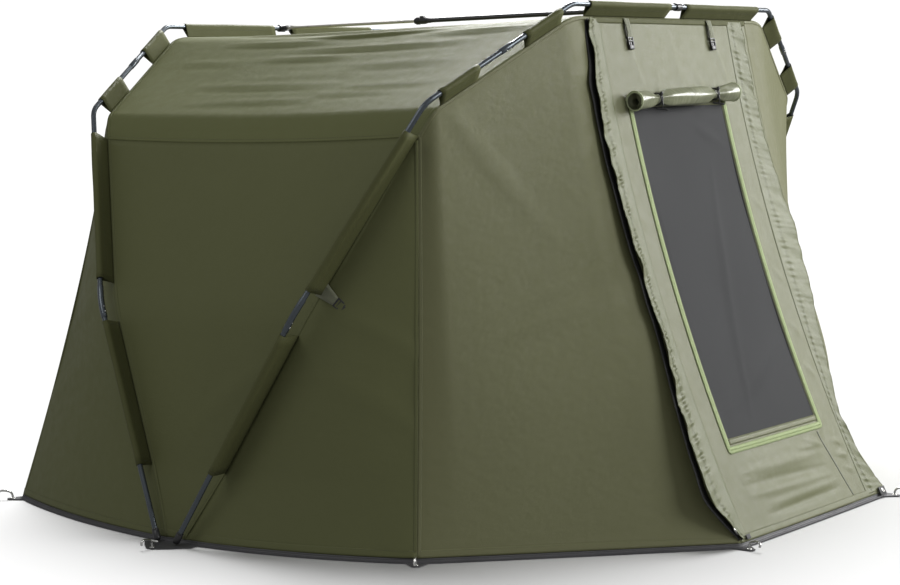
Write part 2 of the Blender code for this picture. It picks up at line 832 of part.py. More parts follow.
def build_side_strap(side):
    """A webbing tie with a buckle, sewn beside the front leg's seam."""
    grid = leg_wall_grid(FRONT, FRONT_CORNER)
    marks = []
    for share, height, gap, width, thick in SIDE_STRAP_PROFILE:
        point, normal = over_grid(grid, share, height)
        lift = FABRIC / 2 + JOINT_GAP + gap + thick / 2
        marks.append((on_side(point + normal * lift, side), width, thick))
    out = on_side(normal, side)
    way = marks[-1][0] - marks[0][0]
    return strap("side_strap_" + side, marks, way.cross(out).normalized(), out)


def over_grid(grid, share, height):
    """The point this far across and up a grid of points, and the outward direction there."""
    i = min(int(share * (len(grid) - 1)), len(grid) - 2)
    j = next(k for k in range(len(grid[i]) - 1) if grid[i][k + 1].z > height)
    local = share * (len(grid) - 1) - i
    lower = grid[i][j].lerp(grid[i + 1][j], local)
    upper = grid[i][j + 1].lerp(grid[i + 1][j + 1], local)
    point = lower.lerp(upper, (height - lower.z) / (upper.z - lower.z))
    normal = (grid[i + 1][j] - grid[i][j]).cross(grid[i][j + 1] - grid[i][j]).normalized()
    return point, -normal if normal.dot(inward_at(point)) > 0 else normal


def build_poles(bow):
    """Each side has a lower leg and an upper leg; one top piece joins the two sides."""
    knee, shoulder, corner = bow.pole_path()
    thick = FERRULE_RADIUS / POLE_RADIUS
    foot = bow.pole_at(LEG_LOW, POLE_START_Z / bow.corners[1].z)
    way = bow.way(LEG_LOW)
    joint = bow.pole_at(LEG_LOW, KNEE_JOINT)
    swage_end = bow.pole_at(LEG_HIGH, KNEE_SWAGE)
    high_way = bow.way(LEG_HIGH)
    chamfer_way = bow.way(CHAMFER)
    middle = bow.pole_at(CHAMFER, 0.5)
    step = SWAGE_STEP
    lower = [foot, joint - way * (JOINT_GAP / 2)]
    upper = [joint + way * (JOINT_GAP / 2)] + knee + [swage_end, swage_end + high_way * step]
    upper_radii = [thick] * (len(upper) - 1) + [1.0]
    upper += shoulder + [middle - chamfer_way * (JOINT_GAP / 2)]
    upper_radii += [1.0] * (len(shoulder) + 1)
    end = middle + chamfer_way * FERRULE_LENGTH
    half = [middle + chamfer_way * (JOINT_GAP / 2), end, end + chamfer_way * step] + corner
    half_radii = [thick, thick] + [1.0] * (len(corner) + 1)
    top = half + [mirrored(p) for p in reversed(half)]
    bar(bow.name + "_pole_top", top, POLE_RADIUS, "tube", radii=half_radii + half_radii[::-1])
    cap_foot = bow.pole_at(LEG_LOW, CAP_BOTTOM_Z / bow.corners[1].z)
    cap = [cap_foot, foot - way * JOINT_GAP]
    for side in ("left", "right"):
        ends = [[on_side(p, side) for p in row] for row in (lower, upper, cap)]
        bar(bow.name + "_pole_lower_" + side, ends[0], POLE_RADIUS, "tube")
        bar(bow.name + "_pole_upper_" + side, ends[1], POLE_RADIUS, "tube", radii=upper_radii)
        bar(bow.name + "_foot_cap_" + side, ends[2], CAP_RADIUS, "plastic")


def turned_solid(name, start, end, radius, segments=16):
    """A plain cylinder between two points."""
    bm = bmesh.new()
    bmesh.ops.create_cone(
        bm, cap_ends=True, segments=segments, radius1=radius, radius2=radius, depth=(end - start).length
    )
    turn = (end - start).to_track_quat("Z", "Y").to_matrix().to_4x4()
    turn.translation = (start + end) / 2
    bm.transform(turn)
    mesh = mesh_from(bm, name)
    mesh.shade_smooth()
    mesh.set_sharp_from_angle(angle=math.radians(40))
    return mesh


def build_bar_end(name, bow, way):
    """A collar round the top of a bow, with a boss that takes an end of the tension bar."""
    centre = bow.pole_at(TOP, 1.0)
    half = Vector((COLLAR_LENGTH / 2, 0.0, 0.0))
    collar = shown(name, turned_solid(name, centre - half, centre + half, COLLAR_RADIUS), "plastic")
    start = centre + way * COLLAR_BORE
    boss_mesh = turned_solid(name + "_boss", start, centre + way * BOSS_LENGTH, BOSS_RADIUS)
    boss = shown(name + "_boss", boss_mesh, "plastic")
    bore_mesh = turned_solid(name + "_bore", centre - half * 2, centre + half * 2, COLLAR_BORE)
    bore = shown(name + "_bore", bore_mesh, "plastic")
    boolean(collar, boss, "UNION")
    boolean(collar, bore, "DIFFERENCE")


def build_tension_bar():
    rear, front = REAR.pole_at(TOP, 1.0), FRONT.pole_at(TOP, 1.0)
    way = (front - rear).normalized()
    clamp_start = rear.lerp(front, BAR_CLAMP_AT) - way * (BAR_CLAMP_LENGTH / 2)
    clamp_end = clamp_start + way * BAR_CLAMP_LENGTH
    build_bar_end("rear_bar_collar", REAR, way)
    build_bar_end("front_bar_collar", FRONT, -way)
    gap = way * JOINT_GAP
    inner = [rear + way * BOSS_LENGTH + gap, clamp_start - gap]
    outer = [clamp_end + gap, front - way * BOSS_LENGTH - gap]
    bar("tension_bar_inner", inner, BAR_INNER_RADIUS, "bar")
    bar("tension_bar_outer", outer, BAR_OUTER_RADIUS, "plastic")
    clamp = [clamp_start, clamp_start + way * 0.008, clamp_start + way * 0.020]
    clamp += [clamp_start + way * 0.024, clamp_end - way * 0.010, clamp_end]
    bar("tension_bar_clamp", clamp, BAR_CLAMP_RADIUS, "plastic", radii=[0.8, 1.0, 1.0, 0.8, 0.95, 0.8])


def hem_corners():
    """The corners of the hem on the left, from the middle of the back to the door."""
    feet = [leg_stations(bow)[0][0].seam for bow in (REAR, FRONT)]
    back = [hem_point(REAR_MIDDLE), hem_point(REAR_CORNER)]
    return back + feet + [hem_point(FRONT_CORNER), hem_point(DOOR_CORNER)]


def hem_loop():
    """The whole hem, point after point, round the tent."""
    left = hem_corners()
    corners = left + [mirrored(p) for p in reversed(left)]
    loop = []
    for start, end in zip(corners, corners[1:] + corners[:1]):
        short = (end - start).length < 0.2
        loop += [start] if short else hem_row(start, end, HEM_POINTS)[:-1]
    return loop


def peg_places():
    """Where each peg stands on the left, and the way it leans."""
    places = [("hub", Vector((-HUB_TAB_X + TAB_TIP + 0.003, 0.0, 0.0)), Vector((-1.0, 0.0, 0.0)))]
    for name, corner in PEG_CORNERS.items():
        out = -inward_at(corner)
        seat = Vector((*corner, 0.0)) + out * (TAB_REACH - TAB_TIP - 0.003)
        places.append((name, seat, out))
    return places


def floor_outline():
    """The groundsheet's edge on the left: along the hem, and out to a tab at each peg."""
    corners = hem_corners()
    outline = []
    for k, corner in enumerate(corners):
        before = corners[k - 1] if k else mirrored(corner)
        after = corners[k + 1] if k < len(corners) - 1 else mirrored(corner)
        if k in (2, 3):
            outline += hub_tab(k)
        else:
            outline += tab(corner, before, after)
        if k != 2:
            outline += margin_row(corner, after)
    return outline


def margin_row(start, end):
    """The hem between two tabs, moved out by the groundsheet's margin."""
    row = hem_row(start, end, HEM_POINTS)[1:-1]
    if abs(end.x + start.x) < 1e-6:
        row = row[: len(row) // 2 + 1]
    way = (end - start).normalized()
    out = Vector((way.y, -way.x, 0.0))
    if out.dot(inward_at(start.lerp(end, 0.5))) > 0:
        out = -out
    return [flat(p + out * FLOOR_MARGIN) for p in row]


def flat(point):
    return Vector((point.x, point.y, 0.0))


def tab(corner, before, after):
    out = -inward_at(corner)
    across = Vector((-out.y, out.x, 0.0))
    if across.dot(after - before) < 0:
        across = -across
    tip = corner + out * TAB_REACH
    base_in = corner + (before - corner).normalized() * TAB_BASE + out * FLOOR_MARGIN
    base_out = corner + (after - corner).normalized() * TAB_BASE + out * FLOOR_MARGIN
    return [flat(p) for p in (base_in, tip - across * TAB_TIP, tip + across * TAB_TIP, base_out)]


def hub_tab(which):
    """Half of the wide tab that carries the feet of both bows."""
    if which == 2:
        outline = [(-1.380, 0.100), (-1.446, 0.056), (-HUB_TAB_X, TAB_TIP)]
    else:
        outline = [(-HUB_TAB_X, -TAB_TIP), (-1.446, -0.062), (-1.365, -0.115)]
    return [Vector((x, y, 0.0)) for x, y in outline]


def build_groundsheet():
    """A floor with an upstanding rim under the hem, and a tab with an eyelet at each peg."""
    left = floor_outline()
    outline = left + [mirrored(p) for p in reversed(left) if abs(p.x) > 1e-6]
    bm = bmesh.new()
    face = bm.faces.new([bm.verts.new(p) for p in outline])
    grown = bmesh.ops.extrude_face_region(bm, geom=[face])["geom"]
    raised = [part for part in grown if isinstance(part, bmesh.types.BMVert)]
    bmesh.ops.translate(bm, verts=raised, vec=(0.0, 0.0, FLOOR))
    bmesh.ops.recalc_face_normals(bm, faces=bm.faces)
    floor = shown("groundsheet", mesh_from(bm, "groundsheet"), "sheet")
    bm = bmesh.new()
    foot_z = FLOOR / 2
    verts = [bm.verts.new((p.x, p.y, foot_z)) for p in hem_loop()]
    edges = [bm.edges.new(pair) for pair in zip(verts, verts[1:] + verts[:1])]
    grown = bmesh.ops.extrude_edge_only(bm, edges=edges)["geom"]
    raised = [part for part in grown if isinstance(part, bmesh.types.BMVert)]
    bmesh.ops.translate(bm, verts=raised, vec=(0.0, 0.0, RIM_TOP_Z - foot_z))
    bmesh.ops.recalc_face_normals(bm, faces=bm.faces)
    rim = shown("groundsheet_rim", mesh_from(bm, "groundsheet_rim"), "sheet")
    wall = rim.modifiers.new("Rim thickness", "SOLIDIFY")
    wall.thickness = FLOOR
    wall.offset = 0.0
    wall.use_even_offset = True
    boolean(floor, rim, "UNION")
    boolean(floor, eyelet_cutter(), "DIFFERENCE")


def eyelet_cutter():
    bm = bmesh.new()
    for _, seat, _ in peg_places():
        for side in ("left", "right"):
            made = bmesh.ops.create_cone(
                bm,
                cap_ends=True,
                segments=8,
                radius1=PEG_HOLE_RADIUS,
                radius2=PEG_HOLE_RADIUS,
                depth=4 * FLOOR,
            )
            bmesh.ops.translate(bm, verts=made["verts"], vec=on_side(seat, side))
    return shown("eyelet_cutter", mesh_from(bm, "eyelet_cutter"), "sheet")


def build_pegs():
    """The parts of the pegs that stand above the ground: a shank with a hooked head."""
    for name, seat, out in peg_places():
        for side in ("left", "right"):
            points = []
            for reach, height in PEG_PROFILE:
                points.append(on_side(seat + out * reach + Vector((0.0, 0.0, height)), side))
            bar("peg_" + name + "_" + side, points, PEG_RADIUS, "peg", sides=8)


def main():
    clear_scene()
    for bow in (REAR, FRONT):
        build_poles(bow)
    build_tension_bar()
    build_roof()
    build_rear_wall()
    for side in ("left", "right"):
        build_side_wall(side)
        build_leg_wall("rear_side_wall", REAR, REAR_CORNER, side)
        build_leg_wall("front_side_panel", FRONT, FRONT_CORNER, side)
        build_front_panel(side)
        build_side_strap(side)
    build_door()
    build_window()
    build_window_cover()
    build_storm_flap("left", *LEFT_FLAP, 0.0)
    build_storm_flap("right", *RIGHT_FLAP, FLARE)
    for side, x in zip(("left", "right"), DOOR_STRAPS):
        build_door_strap(side, x)
    build_groundsheet()
    build_pegs()


main()
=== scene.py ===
"""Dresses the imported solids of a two-bow bivvy tent: sewn cloth, poles, door, floor and pegs.

Metres, +Z up, the door faces -Y and left is -X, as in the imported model. The shell's lines are
worked out from nearly the same driving dimensions as the solids, on a finer grid and with the
hem nearer the photo. Every piece rides on the one body.
"""

from __future__ import annotations

import logging
import math
from dataclasses import dataclass
from enum import Enum
from typing import Callable, Sequence

import bmesh
import bpy
import numpy as np
from mathutils import Matrix, Vector

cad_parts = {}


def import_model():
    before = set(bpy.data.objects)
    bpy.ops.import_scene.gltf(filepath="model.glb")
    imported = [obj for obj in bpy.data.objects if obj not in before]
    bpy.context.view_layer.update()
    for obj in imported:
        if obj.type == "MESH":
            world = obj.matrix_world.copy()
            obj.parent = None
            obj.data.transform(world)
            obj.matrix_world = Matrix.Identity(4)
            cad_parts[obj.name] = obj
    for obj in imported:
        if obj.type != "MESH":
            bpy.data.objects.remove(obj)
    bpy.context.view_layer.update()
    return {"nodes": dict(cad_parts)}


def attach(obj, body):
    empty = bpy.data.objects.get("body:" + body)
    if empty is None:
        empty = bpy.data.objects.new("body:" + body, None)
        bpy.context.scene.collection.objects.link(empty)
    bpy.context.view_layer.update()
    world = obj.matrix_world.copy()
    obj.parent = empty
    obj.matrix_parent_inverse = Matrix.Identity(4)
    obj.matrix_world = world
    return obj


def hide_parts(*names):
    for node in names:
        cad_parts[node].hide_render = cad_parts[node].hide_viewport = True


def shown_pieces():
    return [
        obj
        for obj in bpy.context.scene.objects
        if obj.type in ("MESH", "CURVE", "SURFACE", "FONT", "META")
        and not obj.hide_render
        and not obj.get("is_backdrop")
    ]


LOG = logging.getLogger("bivvy")
BODY = "root"
Socket = bpy.types.NodeSocket
Piece = bpy.types.Object
Material = bpy.types.Material
Colour = tuple[float, float, float]
Relief = Callable[[np.ndarray, np.ndarray], np.ndarray]
MIRROR = np.array((-1.0, 1.0, 1.0))
ALL_EDGES = "left right low high"


class Side(Enum):
    """The two sides of the tent, as seen by somebody in front of the door."""

    LEFT = "left"
    RIGHT = "right"

    def place(self, points: np.ndarray) -> np.ndarray:
        """Points of the left side, or their mirror images on the right."""
        return points if self is Side.LEFT else points * MIRROR


class Stretch(Enum):
    """The straight stretches of half a bow, from the foot to the middle of the top."""

    LEG_LOW = 0
    LEG_HIGH = 1
    CHAMFER = 2
    TOP = 3


# Shader graphs


class Graph:
    """A material's node tree, with short calls to add and join its nodes."""

    def __init__(self, name: str) -> None:
        """Starts a material that has only its shader and its output.

        Args:
            name: The material's name.
        """
        self.material = bpy.data.materials.new(name)
        self.material.use_nodes = True
        self.tree = self.material.node_tree
        self.shader = self.tree.nodes["Principled BSDF"]

    def add(self, kind: str, **settings: object) -> bpy.types.Node:
        """Adds a node.

        Args:
            kind: The node's type, without its ShaderNode prefix.
            **settings: Attributes to set on it.

        Returns:
            The new node.
        """
        node = self.tree.nodes.new("ShaderNode" + kind)
        for key, value in settings.items():
            setattr(node, key, value)
        return node

    def link(self, start: Socket, end: Socket) -> None:
        """Joins an output to an input."""
        self.tree.links.new(start, end)

    def coordinates(self, own: bool, scale: Colour, turn: float = 0.0) -> Socket:
        """A mapped set of coordinates.

        Args:
            own: Whether the piece's own UV map, in metres, is read, or else Object coordinates.
            scale: How many times the pattern repeats in a metre along each axis.
            turn: Angle about Z, in radians.

        Returns:
            The mapping's output.
        """
        source = self.add("TexCoord")
        mapping = self.add("Mapping")
        mapping.inputs["Scale"].default_value = scale
        mapping.inputs["Rotation"].default_value = (0.0, 0.0, turn)
        self.link(source.outputs["UV" if own else "Object"], mapping.inputs["Vector"])
        return mapping.outputs["Vector"]

    def noise(self, where: Socket, detail: float, rough: float) -> Socket:
        """Adds noise of unit scale.

        Args:
            where: The coordinates that it is read at.
            detail: How many finer layers it has.
            rough: How much the finer layers count.

        Returns:
            The noise's value.
        """
        node = self.add("TexNoise")
        node.inputs["Scale"].default_value = 1.0
        node.inputs["Detail"].default_value = detail
        node.inputs["Roughness"].default_value = rough
        self.link(where, node.inputs["Vector"])
        return node.outputs["Fac"]

    def bands(self, where: Socket, direction: str) -> Socket:
        """Adds plain sine bands across one axis, one for each unit.

        Args:
            where: The coordinates that they are read at.
            direction: The axis, as X or Y.

        Returns:
            The bands' value.
        """
        node = self.add("TexWave", bands_direction=direction)
        node.inputs["Scale"].default_value = math.tau / 20.0
        self.link(where, node.inputs["Vector"])
        return node.outputs["Fac"]

    def math(self, operation: str, first: Socket, second: object) -> Socket:
        """Adds an arithmetic node.

        Args:
            operation: What it does.
            first: A socket.
            second: A socket or a number.

        Returns:
            The result.
        """
        node = self.add("Math", operation=operation)
        self.link(first, node.inputs[0])
        if isinstance(second, Socket):
            self.link(second, node.inputs[1])
        else:
            node.inputs[1].default_value = second
        return node.outputs[0]

    def ramp(self, fac: Socket, low: float, high: float) -> Socket:
        """Maps the middle of a noise onto another range.

        Args:
            fac: The noise.
            low: The start of the range.
            high: The end of the range.

        Returns:
            The mapped value.
        """
        node = self.add("MapRange")
        node.inputs["From Min"].default_value = 0.3
        node.inputs["From Max"].default_value = 0.7
        node.inputs["To Min"].default_value = low
        node.inputs["To Max"].default_value = high
        self.link(fac, node.inputs["Value"])
        return node.outputs["Result"]

    def tint(self, colour: Colour, fac: Socket, low: float, high: float) -> Socket:
        """Varies the brightness of a colour.

        Args:
            colour: The plain colour.
            fac: What it varies with, from 0 to 1.
            low: How many times the plain colour it is at 0.
            high: How many times the plain colour it is at 1.

        Returns:
            The varied colour.
        """
        node = self.add("Mix", data_type="RGBA")
        node.inputs["A"].default_value = (*(c * low for c in colour), 1.0)
        node.inputs["B"].default_value = (*(min(1.0, c * high) for c in colour), 1.0)
        self.link(fac, node.inputs["Factor"])
        return node.outputs["Result"]

    def blend(self, fac: Socket, first: object, second: Colour) -> Socket:
        """Mixes two colours.

        Args:
            fac: The second colour's share.
            first: A colour socket.
            second: A plain colour.

        Returns:
            The mixed colour.
        """
        node = self.add("Mix", data_type="RGBA")
        self.link(first, node.inputs["A"])
        node.inputs["B"].default_value = (*second, 1.0)
        self.link(fac, node.inputs["Factor"])
        return node.outputs["Result"]

    def bump(self, height: Socket, distance: float, under: object = None) -> Socket:
        """Adds a bump.

        Args:
            height: Its height, from 0 to 1.
            distance: Its depth in metres.
            under: The bump that it is laid on, or None.

        Returns:
            The relief of both.
        """
        node = self.add("Bump")
        node.inputs["Distance"].default_value = distance
        self.link(height, node.inputs["Height"])
        if under is not None:
            self.link(under, node.inputs["Normal"])
        return node.outputs["Normal"]

    def colour(self, socket: Socket) -> None:
        """Sets what gives the shader its colour."""
        self.link(socket, self.shader.inputs["Base Color"])

    def surface(self, socket: Socket) -> None:
        """Sets what gives the shader its relief."""
        self.link(socket, self.shader.inputs["Normal"])

    def settle(self, **values: float) -> Material:
        """Sets plain numbers on the shader's own sockets.

        Args:
            **values: The numbers, by the sockets' names with underscores.

        Returns:
            The finished material.
        """
        for key, value in values.items():
            self.shader.inputs[key.replace("_", " ")].default_value = value
        return self.material


# Finishes


@dataclass(frozen=True)
class CoatedCloth:
    """Proofed tent cloth: a fine plain weave under a soft coating, a little uneven in tone."""

    name: str
    colour: Colour
    roughness: float = 0.50
    threads: float = 1400.0
    mottle: float = 0.07
    specular: float = 0.25
    sheen: float = 0.01

    def material(self) -> Material:
        """Makes the cloth's material, with its weave on the piece's own UV map.

        Returns:
            The material.
        """
        graph = Graph(self.name)
        weave = graph.coordinates(True, (self.threads, self.threads, 1.0))
        over = graph.math("MULTIPLY", graph.bands(weave, "X"), graph.bands(weave, "Y"))
        cloudy = graph.noise(graph.coordinates(False, (2.3, 2.3, 2.3)), 4.0, 0.55)
        creased = graph.noise(graph.coordinates(False, (34.0, 34.0, 34.0)), 3.0, 0.5)
        slubs = graph.noise(graph.coordinates(True, (60.0, 900.0, 1.0)), 2.0, 0.6)
        tone = graph.tint(self.colour, cloudy, 1.0 - self.mottle, 1.0 + self.mottle)
        graph.colour(graph.blend(graph.ramp(slubs, 0.0, 0.10), tone, tuple(c * 0.7 for c in self.colour)))
        graph.link(
            graph.ramp(creased, self.roughness - 0.06, self.roughness + 0.06),
            graph.shader.inputs["Roughness"],
        )
        graph.surface(graph.bump(over, 0.00012, graph.bump(creased, 0.0009)))
        return graph.settle(Specular_IOR_Level=self.specular, Sheen_Weight=self.sheen)


@dataclass(frozen=True)
class WovenTape:
    """Narrow woven tape or webbing: ribs across its width."""

    name: str
    colour: Colour
    ribs: float = 620.0
    depth: float = 0.0004
    roughness: float = 0.62
    sheen: float = 0.12

    def material(self) -> Material:
        """Makes the tape's material, with its ribs on the piece's own UV map.

        Returns:
            The material.
        """
        graph = Graph(self.name)
        where = graph.coordinates(True, (self.ribs, self.ribs * 1.6, 1.0))
        ribs = graph.math("MAXIMUM", graph.bands(where, "X"), graph.bands(where, "Y"))
        worn = graph.noise(graph.coordinates(False, (60.0, 60.0, 60.0)), 3.0, 0.6)
        # Colour is darker between the ribs, where the bump sinks: painted shade in the grooves; the worn
        # noise adds random patches of tone
        graph.colour(graph.tint(self.colour, graph.math("MULTIPLY", ribs, worn), 0.72, 1.35))
        graph.surface(graph.bump(ribs, self.depth))
        return graph.settle(Roughness=self.roughness, Sheen_Weight=self.sheen)


@dataclass(frozen=True)
class NetCloth:
    """Fine dark netting that lets a little of the inside show."""

    name: str
    colour: Colour
    holes: float = 700.0
    opacity: float = 0.90

    def material(self) -> Material:
        """Makes the net's material.

        Returns:
            The material.
        """
        graph = Graph(self.name)
        where = graph.coordinates(True, (self.holes, self.holes, 1.0), math.pi / 4)
        cells = graph.math("MULTIPLY", graph.bands(where, "X"), graph.bands(where, "Y"))
        cloudy = graph.noise(graph.coordinates(False, (5.0, 5.0, 2.0)), 3.0, 0.5)
        tone = graph.tint(self.colour, cloudy, 0.80, 1.18)
        # The holes are mixed towards near-black: painted shade of the dark inside seen through them
        graph.colour(graph.blend(graph.math("MULTIPLY", cells, 0.5), tone, (0.006, 0.006, 0.007)))
        graph.surface(graph.bump(cells, 0.0002))
        return graph.settle(Roughness=0.7, Alpha=self.opacity, Specular_IOR_Level=0.2)


@dataclass(frozen=True)
class GlossFilm:
    """The thin glossy film of the rolled window cover, with sharp small creases."""

    name: str
    colour: Colour
    roughness: float = 0.30

    def material(self) -> Material:
        """Makes the film's material.

        Returns:
            The material.
        """
        graph = Graph(self.name)
        creases = graph.noise(graph.coordinates(True, (14.0, 40.0, 1.0)), 3.0, 0.5)
        cloudy = graph.noise(graph.coordinates(False, (18.0, 18.0, 18.0)), 3.0, 0.5)
        graph.colour(graph.tint(self.colour, cloudy, 0.75, 1.25))
        graph.surface(graph.bump(creases, 0.003))
        return graph.settle(Roughness=self.roughness, Coat_Weight=0.1, Coat_Roughness=0.12)


@dataclass(frozen=True)
class HeavySheet:
    """The coated sheet of the floor: dull and leathery, darker in the hollows of its buckles and lighter on
    their crowns, which is painted shade and light.
    """

    name: str
    colour: Colour

    def material(self) -> Material:
        """Makes the sheet's material.

        Returns:
            The material.
        """
        graph = Graph(self.name)
        grain = graph.noise(graph.coordinates(False, (900.0, 900.0, 900.0)), 2.0, 0.5)
        buckled = graph.noise(graph.coordinates(False, (16.0, 16.0, 16.0)), 4.0, 0.55)
        # Tone follows the buckles' bump: painted shade in the hollows, painted light on the crowns
        graph.colour(graph.tint(self.colour, buckled, 0.82, 1.22))
        graph.link(graph.ramp(buckled, 0.42, 0.62), graph.shader.inputs["Roughness"])
        graph.surface(graph.bump(grain, 0.0002, graph.bump(buckled, 0.003)))
        return graph.settle(Specular_IOR_Level=0.4)


@dataclass(frozen=True)
class Metal:
    """A metal tube or wire, with fine draw marks and dulled patches."""

    name: str
    colour: Colour
    roughness: float
    metallic: float = 1.0
    marks: float = 0.00004
    coat: float = 0.0

    def material(self) -> Material:
        """Makes the metal's material.

        Returns:
            The material.
        """
        graph = Graph(self.name)
        drawn = graph.noise(graph.coordinates(False, (700.0, 700.0, 60.0)), 2.0, 0.6)
        worn = graph.noise(graph.coordinates(False, (22.0, 22.0, 22.0)), 4.0, 0.6)
        graph.colour(graph.tint(self.colour, worn, 0.82, 1.18))
        graph.link(
            graph.ramp(worn, self.roughness * 0.75, self.roughness * 1.3),
            graph.shader.inputs["Roughness"],
        )
        graph.surface(graph.bump(drawn, self.marks))
        return graph.settle(Metallic=self.metallic, Coat_Weight=self.coat, Coat_Roughness=0.12)


@dataclass(frozen=True)
class MouldedPlastic:
    """Moulded plastic with a spark-eroded grain."""

    name: str
    colour: Colour
    roughness: float = 0.38

    def material(self) -> Material:
        """Makes the plastic's material.

        Returns:
            The material.
        """
        graph = Graph(self.name)
        grain = graph.noise(graph.coordinates(False, (1500.0, 1500.0, 1500.0)), 2.0, 0.5)
        rubbed = graph.noise(graph.coordinates(False, (45.0, 45.0, 45.0)), 3.0, 0.6)
        graph.colour(graph.tint(self.colour, rubbed, 0.8, 1.5))
        graph.link(
            graph.ramp(rubbed, self.roughness - 0.07, self.roughness + 0.09),
            graph.shader.inputs["Roughness"],
        )
        graph.surface(graph.bump(grain, 0.00006))
        return graph.settle(Specular_IOR_Level=0.5)


class Finishes:
    """Every finish of the tent, made once."""

    def __init__(self) -> None:
        """Makes the materials."""
        # Roof, walls, front panels, door and flaps are one cloth: the wall copy is darker as painted shade,
        # the front, door and flap copies lighter as painted light
        self.roof = CoatedCloth("roof_cloth_finish", (0.120, 0.129, 0.055), 0.56, specular=0.10).material()
        self.wall = CoatedCloth("wall_cloth_finish", (0.106, 0.113, 0.049), 0.52, specular=0.14).material()
        self.front = CoatedCloth("front_cloth_finish", (0.128, 0.131, 0.064), 0.48, specular=0.20).material()
        self.door = CoatedCloth("door_cloth_finish", (0.126, 0.132, 0.068), 0.44, specular=0.28).material()
        self.flap = CoatedCloth("flap_cloth_finish", (0.122, 0.131, 0.067), 0.40, mottle=0.12,
                                specular=0.28).material()
        self.sleeve = CoatedCloth("sleeve_cloth_finish", (0.076, 0.080, 0.032), 0.55,
                                  specular=0.10).material()
        self.thread = WovenTape("thread_finish", (0.052, 0.056, 0.028), 2200.0, 0.0001).material()
        self.zip = WovenTape("zip_tape_finish", (0.300, 0.370, 0.160)).material()
        # A lighter copy of the zip tape for the rolled cover's ends: painted light on ends that face away
        # from the lamps
        self.binding = WovenTape("cover_binding_finish", (0.500, 0.560, 0.340)).material()
        self.teeth = MouldedPlastic("zip_coil_finish", (0.280, 0.350, 0.150), 0.34).material()
        # Near-black, darker than black tape: the zip beside the left flap and the door's corner tabs; the
        # dark colour also paints the shade under the flap's edge
        self.storm_zip = WovenTape("storm_zip_finish", (0.004, 0.004, 0.004), 500.0, sheen=0.0).material()
        self.webbing = WovenTape("webbing_finish", (0.165, 0.175, 0.110), 430.0, 0.0006).material()
        self.net = NetCloth("window_net_finish", (0.030, 0.031, 0.032), opacity=0.94).material()
        self.film = GlossFilm("window_cover_finish", (0.150, 0.160, 0.095)).material()
        self.floor = HeavySheet("groundsheet_finish", (0.050, 0.050, 0.053)).material()
        self.pole = Metal("pole_finish", (0.075, 0.088, 0.100), 0.28, 0.7, 0.00001, 0.15).material()
        self.bar = Metal("bar_finish", (0.560, 0.540, 0.490), 0.34, 0.9).material()
        self.steel = Metal("peg_finish", (0.620, 0.620, 0.600), 0.24).material()
        self.plastic = MouldedPlastic("fitting_finish", (0.016, 0.016, 0.017)).material()


# Lines of the frame and the shell


def vec(*values: float) -> np.ndarray:
    """A point or direction as an array."""
    return np.array(values, float)


def unit(way: np.ndarray) -> np.ndarray:
    """The direction of one vector, or of each in an array."""
    return way / np.maximum(np.linalg.norm(way, axis=-1, keepdims=True), 1e-12)


def lerp(first: np.ndarray, second: np.ndarray, share: object) -> np.ndarray:
    """The point or points this share of the way from first to second."""
    return first + (second - first) * np.asarray(share, float)[..., None]


def smooth(value: np.ndarray, low: float, high: float) -> np.ndarray:
    """Rises smoothly from 0 at low to 1 at high."""
    t = np.clip((value - low) / (high - low), 0.0, 1.0)
    return t * t * (3.0 - 2.0 * t)


def sagging(start: np.ndarray, end: np.ndarray, sag: np.ndarray, places: np.ndarray) -> np.ndarray:
    """Points at the given places from start to end, which bow by sag at mid-length."""
    return lerp(start, end, places) + (4.0 * places * (1.0 - places))[:, None] * sag


def shares_of(points: np.ndarray) -> np.ndarray:
    """How far along a row of points each of them is.

    Args:
        points: The row of points.

    Returns:
        A share from 0 to 1 for each point.
    """
    steps = np.linalg.norm(np.diff(points, axis=0), axis=1)
    run = np.concatenate(([0.0], np.cumsum(steps)))
    return run / run[-1]


def along(points: np.ndarray, wanted: np.ndarray) -> np.ndarray:
    """Points at the wanted shares of a row of points."""
    known = shares_of(points)
    return np.stack([np.interp(wanted, known, points[:, k]) for k in range(3)], axis=1)


def coons(bottom: np.ndarray, top: np.ndarray, left: np.ndarray, right: np.ndarray) -> np.ndarray:
    """A grid of points stretched between four rows of points.

    Args:
        bottom: The low edge, whose points are moved along it to match the top's.
        top: The high edge.
        left: The first column.
        right: The last column.

    Returns:
        The grid, as grid[column, row].
    """
    u = shares_of(top)
    v = shares_of(left)
    bottom = along(bottom, u)
    rows = bottom[:, None] * (1 - v)[None, :, None] + top[:, None] * v[None, :, None]
    columns = left[None] * (1 - u)[:, None, None] + right[None] * u[:, None, None]
    low = lerp(bottom[0], bottom[-1], u)
    high = lerp(top[0], top[-1], u)
    corners = low[:, None] * (1 - v)[None, :, None] + high[:, None] * v[None, :, None]
    return rows + columns - corners


def bend(before: np.ndarray, corner: np.ndarray, after: np.ndarray, radius: float, steps: int) -> list:
    """Rounds off a corner of a path.

    Args:
        before: The corner before it.
        corner: The corner itself.
        after: The corner after it.
        radius: The bend's radius.
        steps: How many straight steps the bend has.

    Returns:
        The points of the bend.
    """
    into = unit(corner - before)
    out = unit(after - corner)
    half = math.acos(float(np.clip(into @ out, -1.0, 1.0))) / 2
    start = corner - into * (radius * math.tan(half))
    centre = corner + unit(out - into) * (radius / math.cos(half))
    arm = start - centre
    axis = unit(np.cross(into, out))
    angles = [2 * half * step / steps for step in range(steps + 1)]
    return [centre + arm * math.cos(a) + np.cross(axis, arm) * math.sin(a) for a in angles]


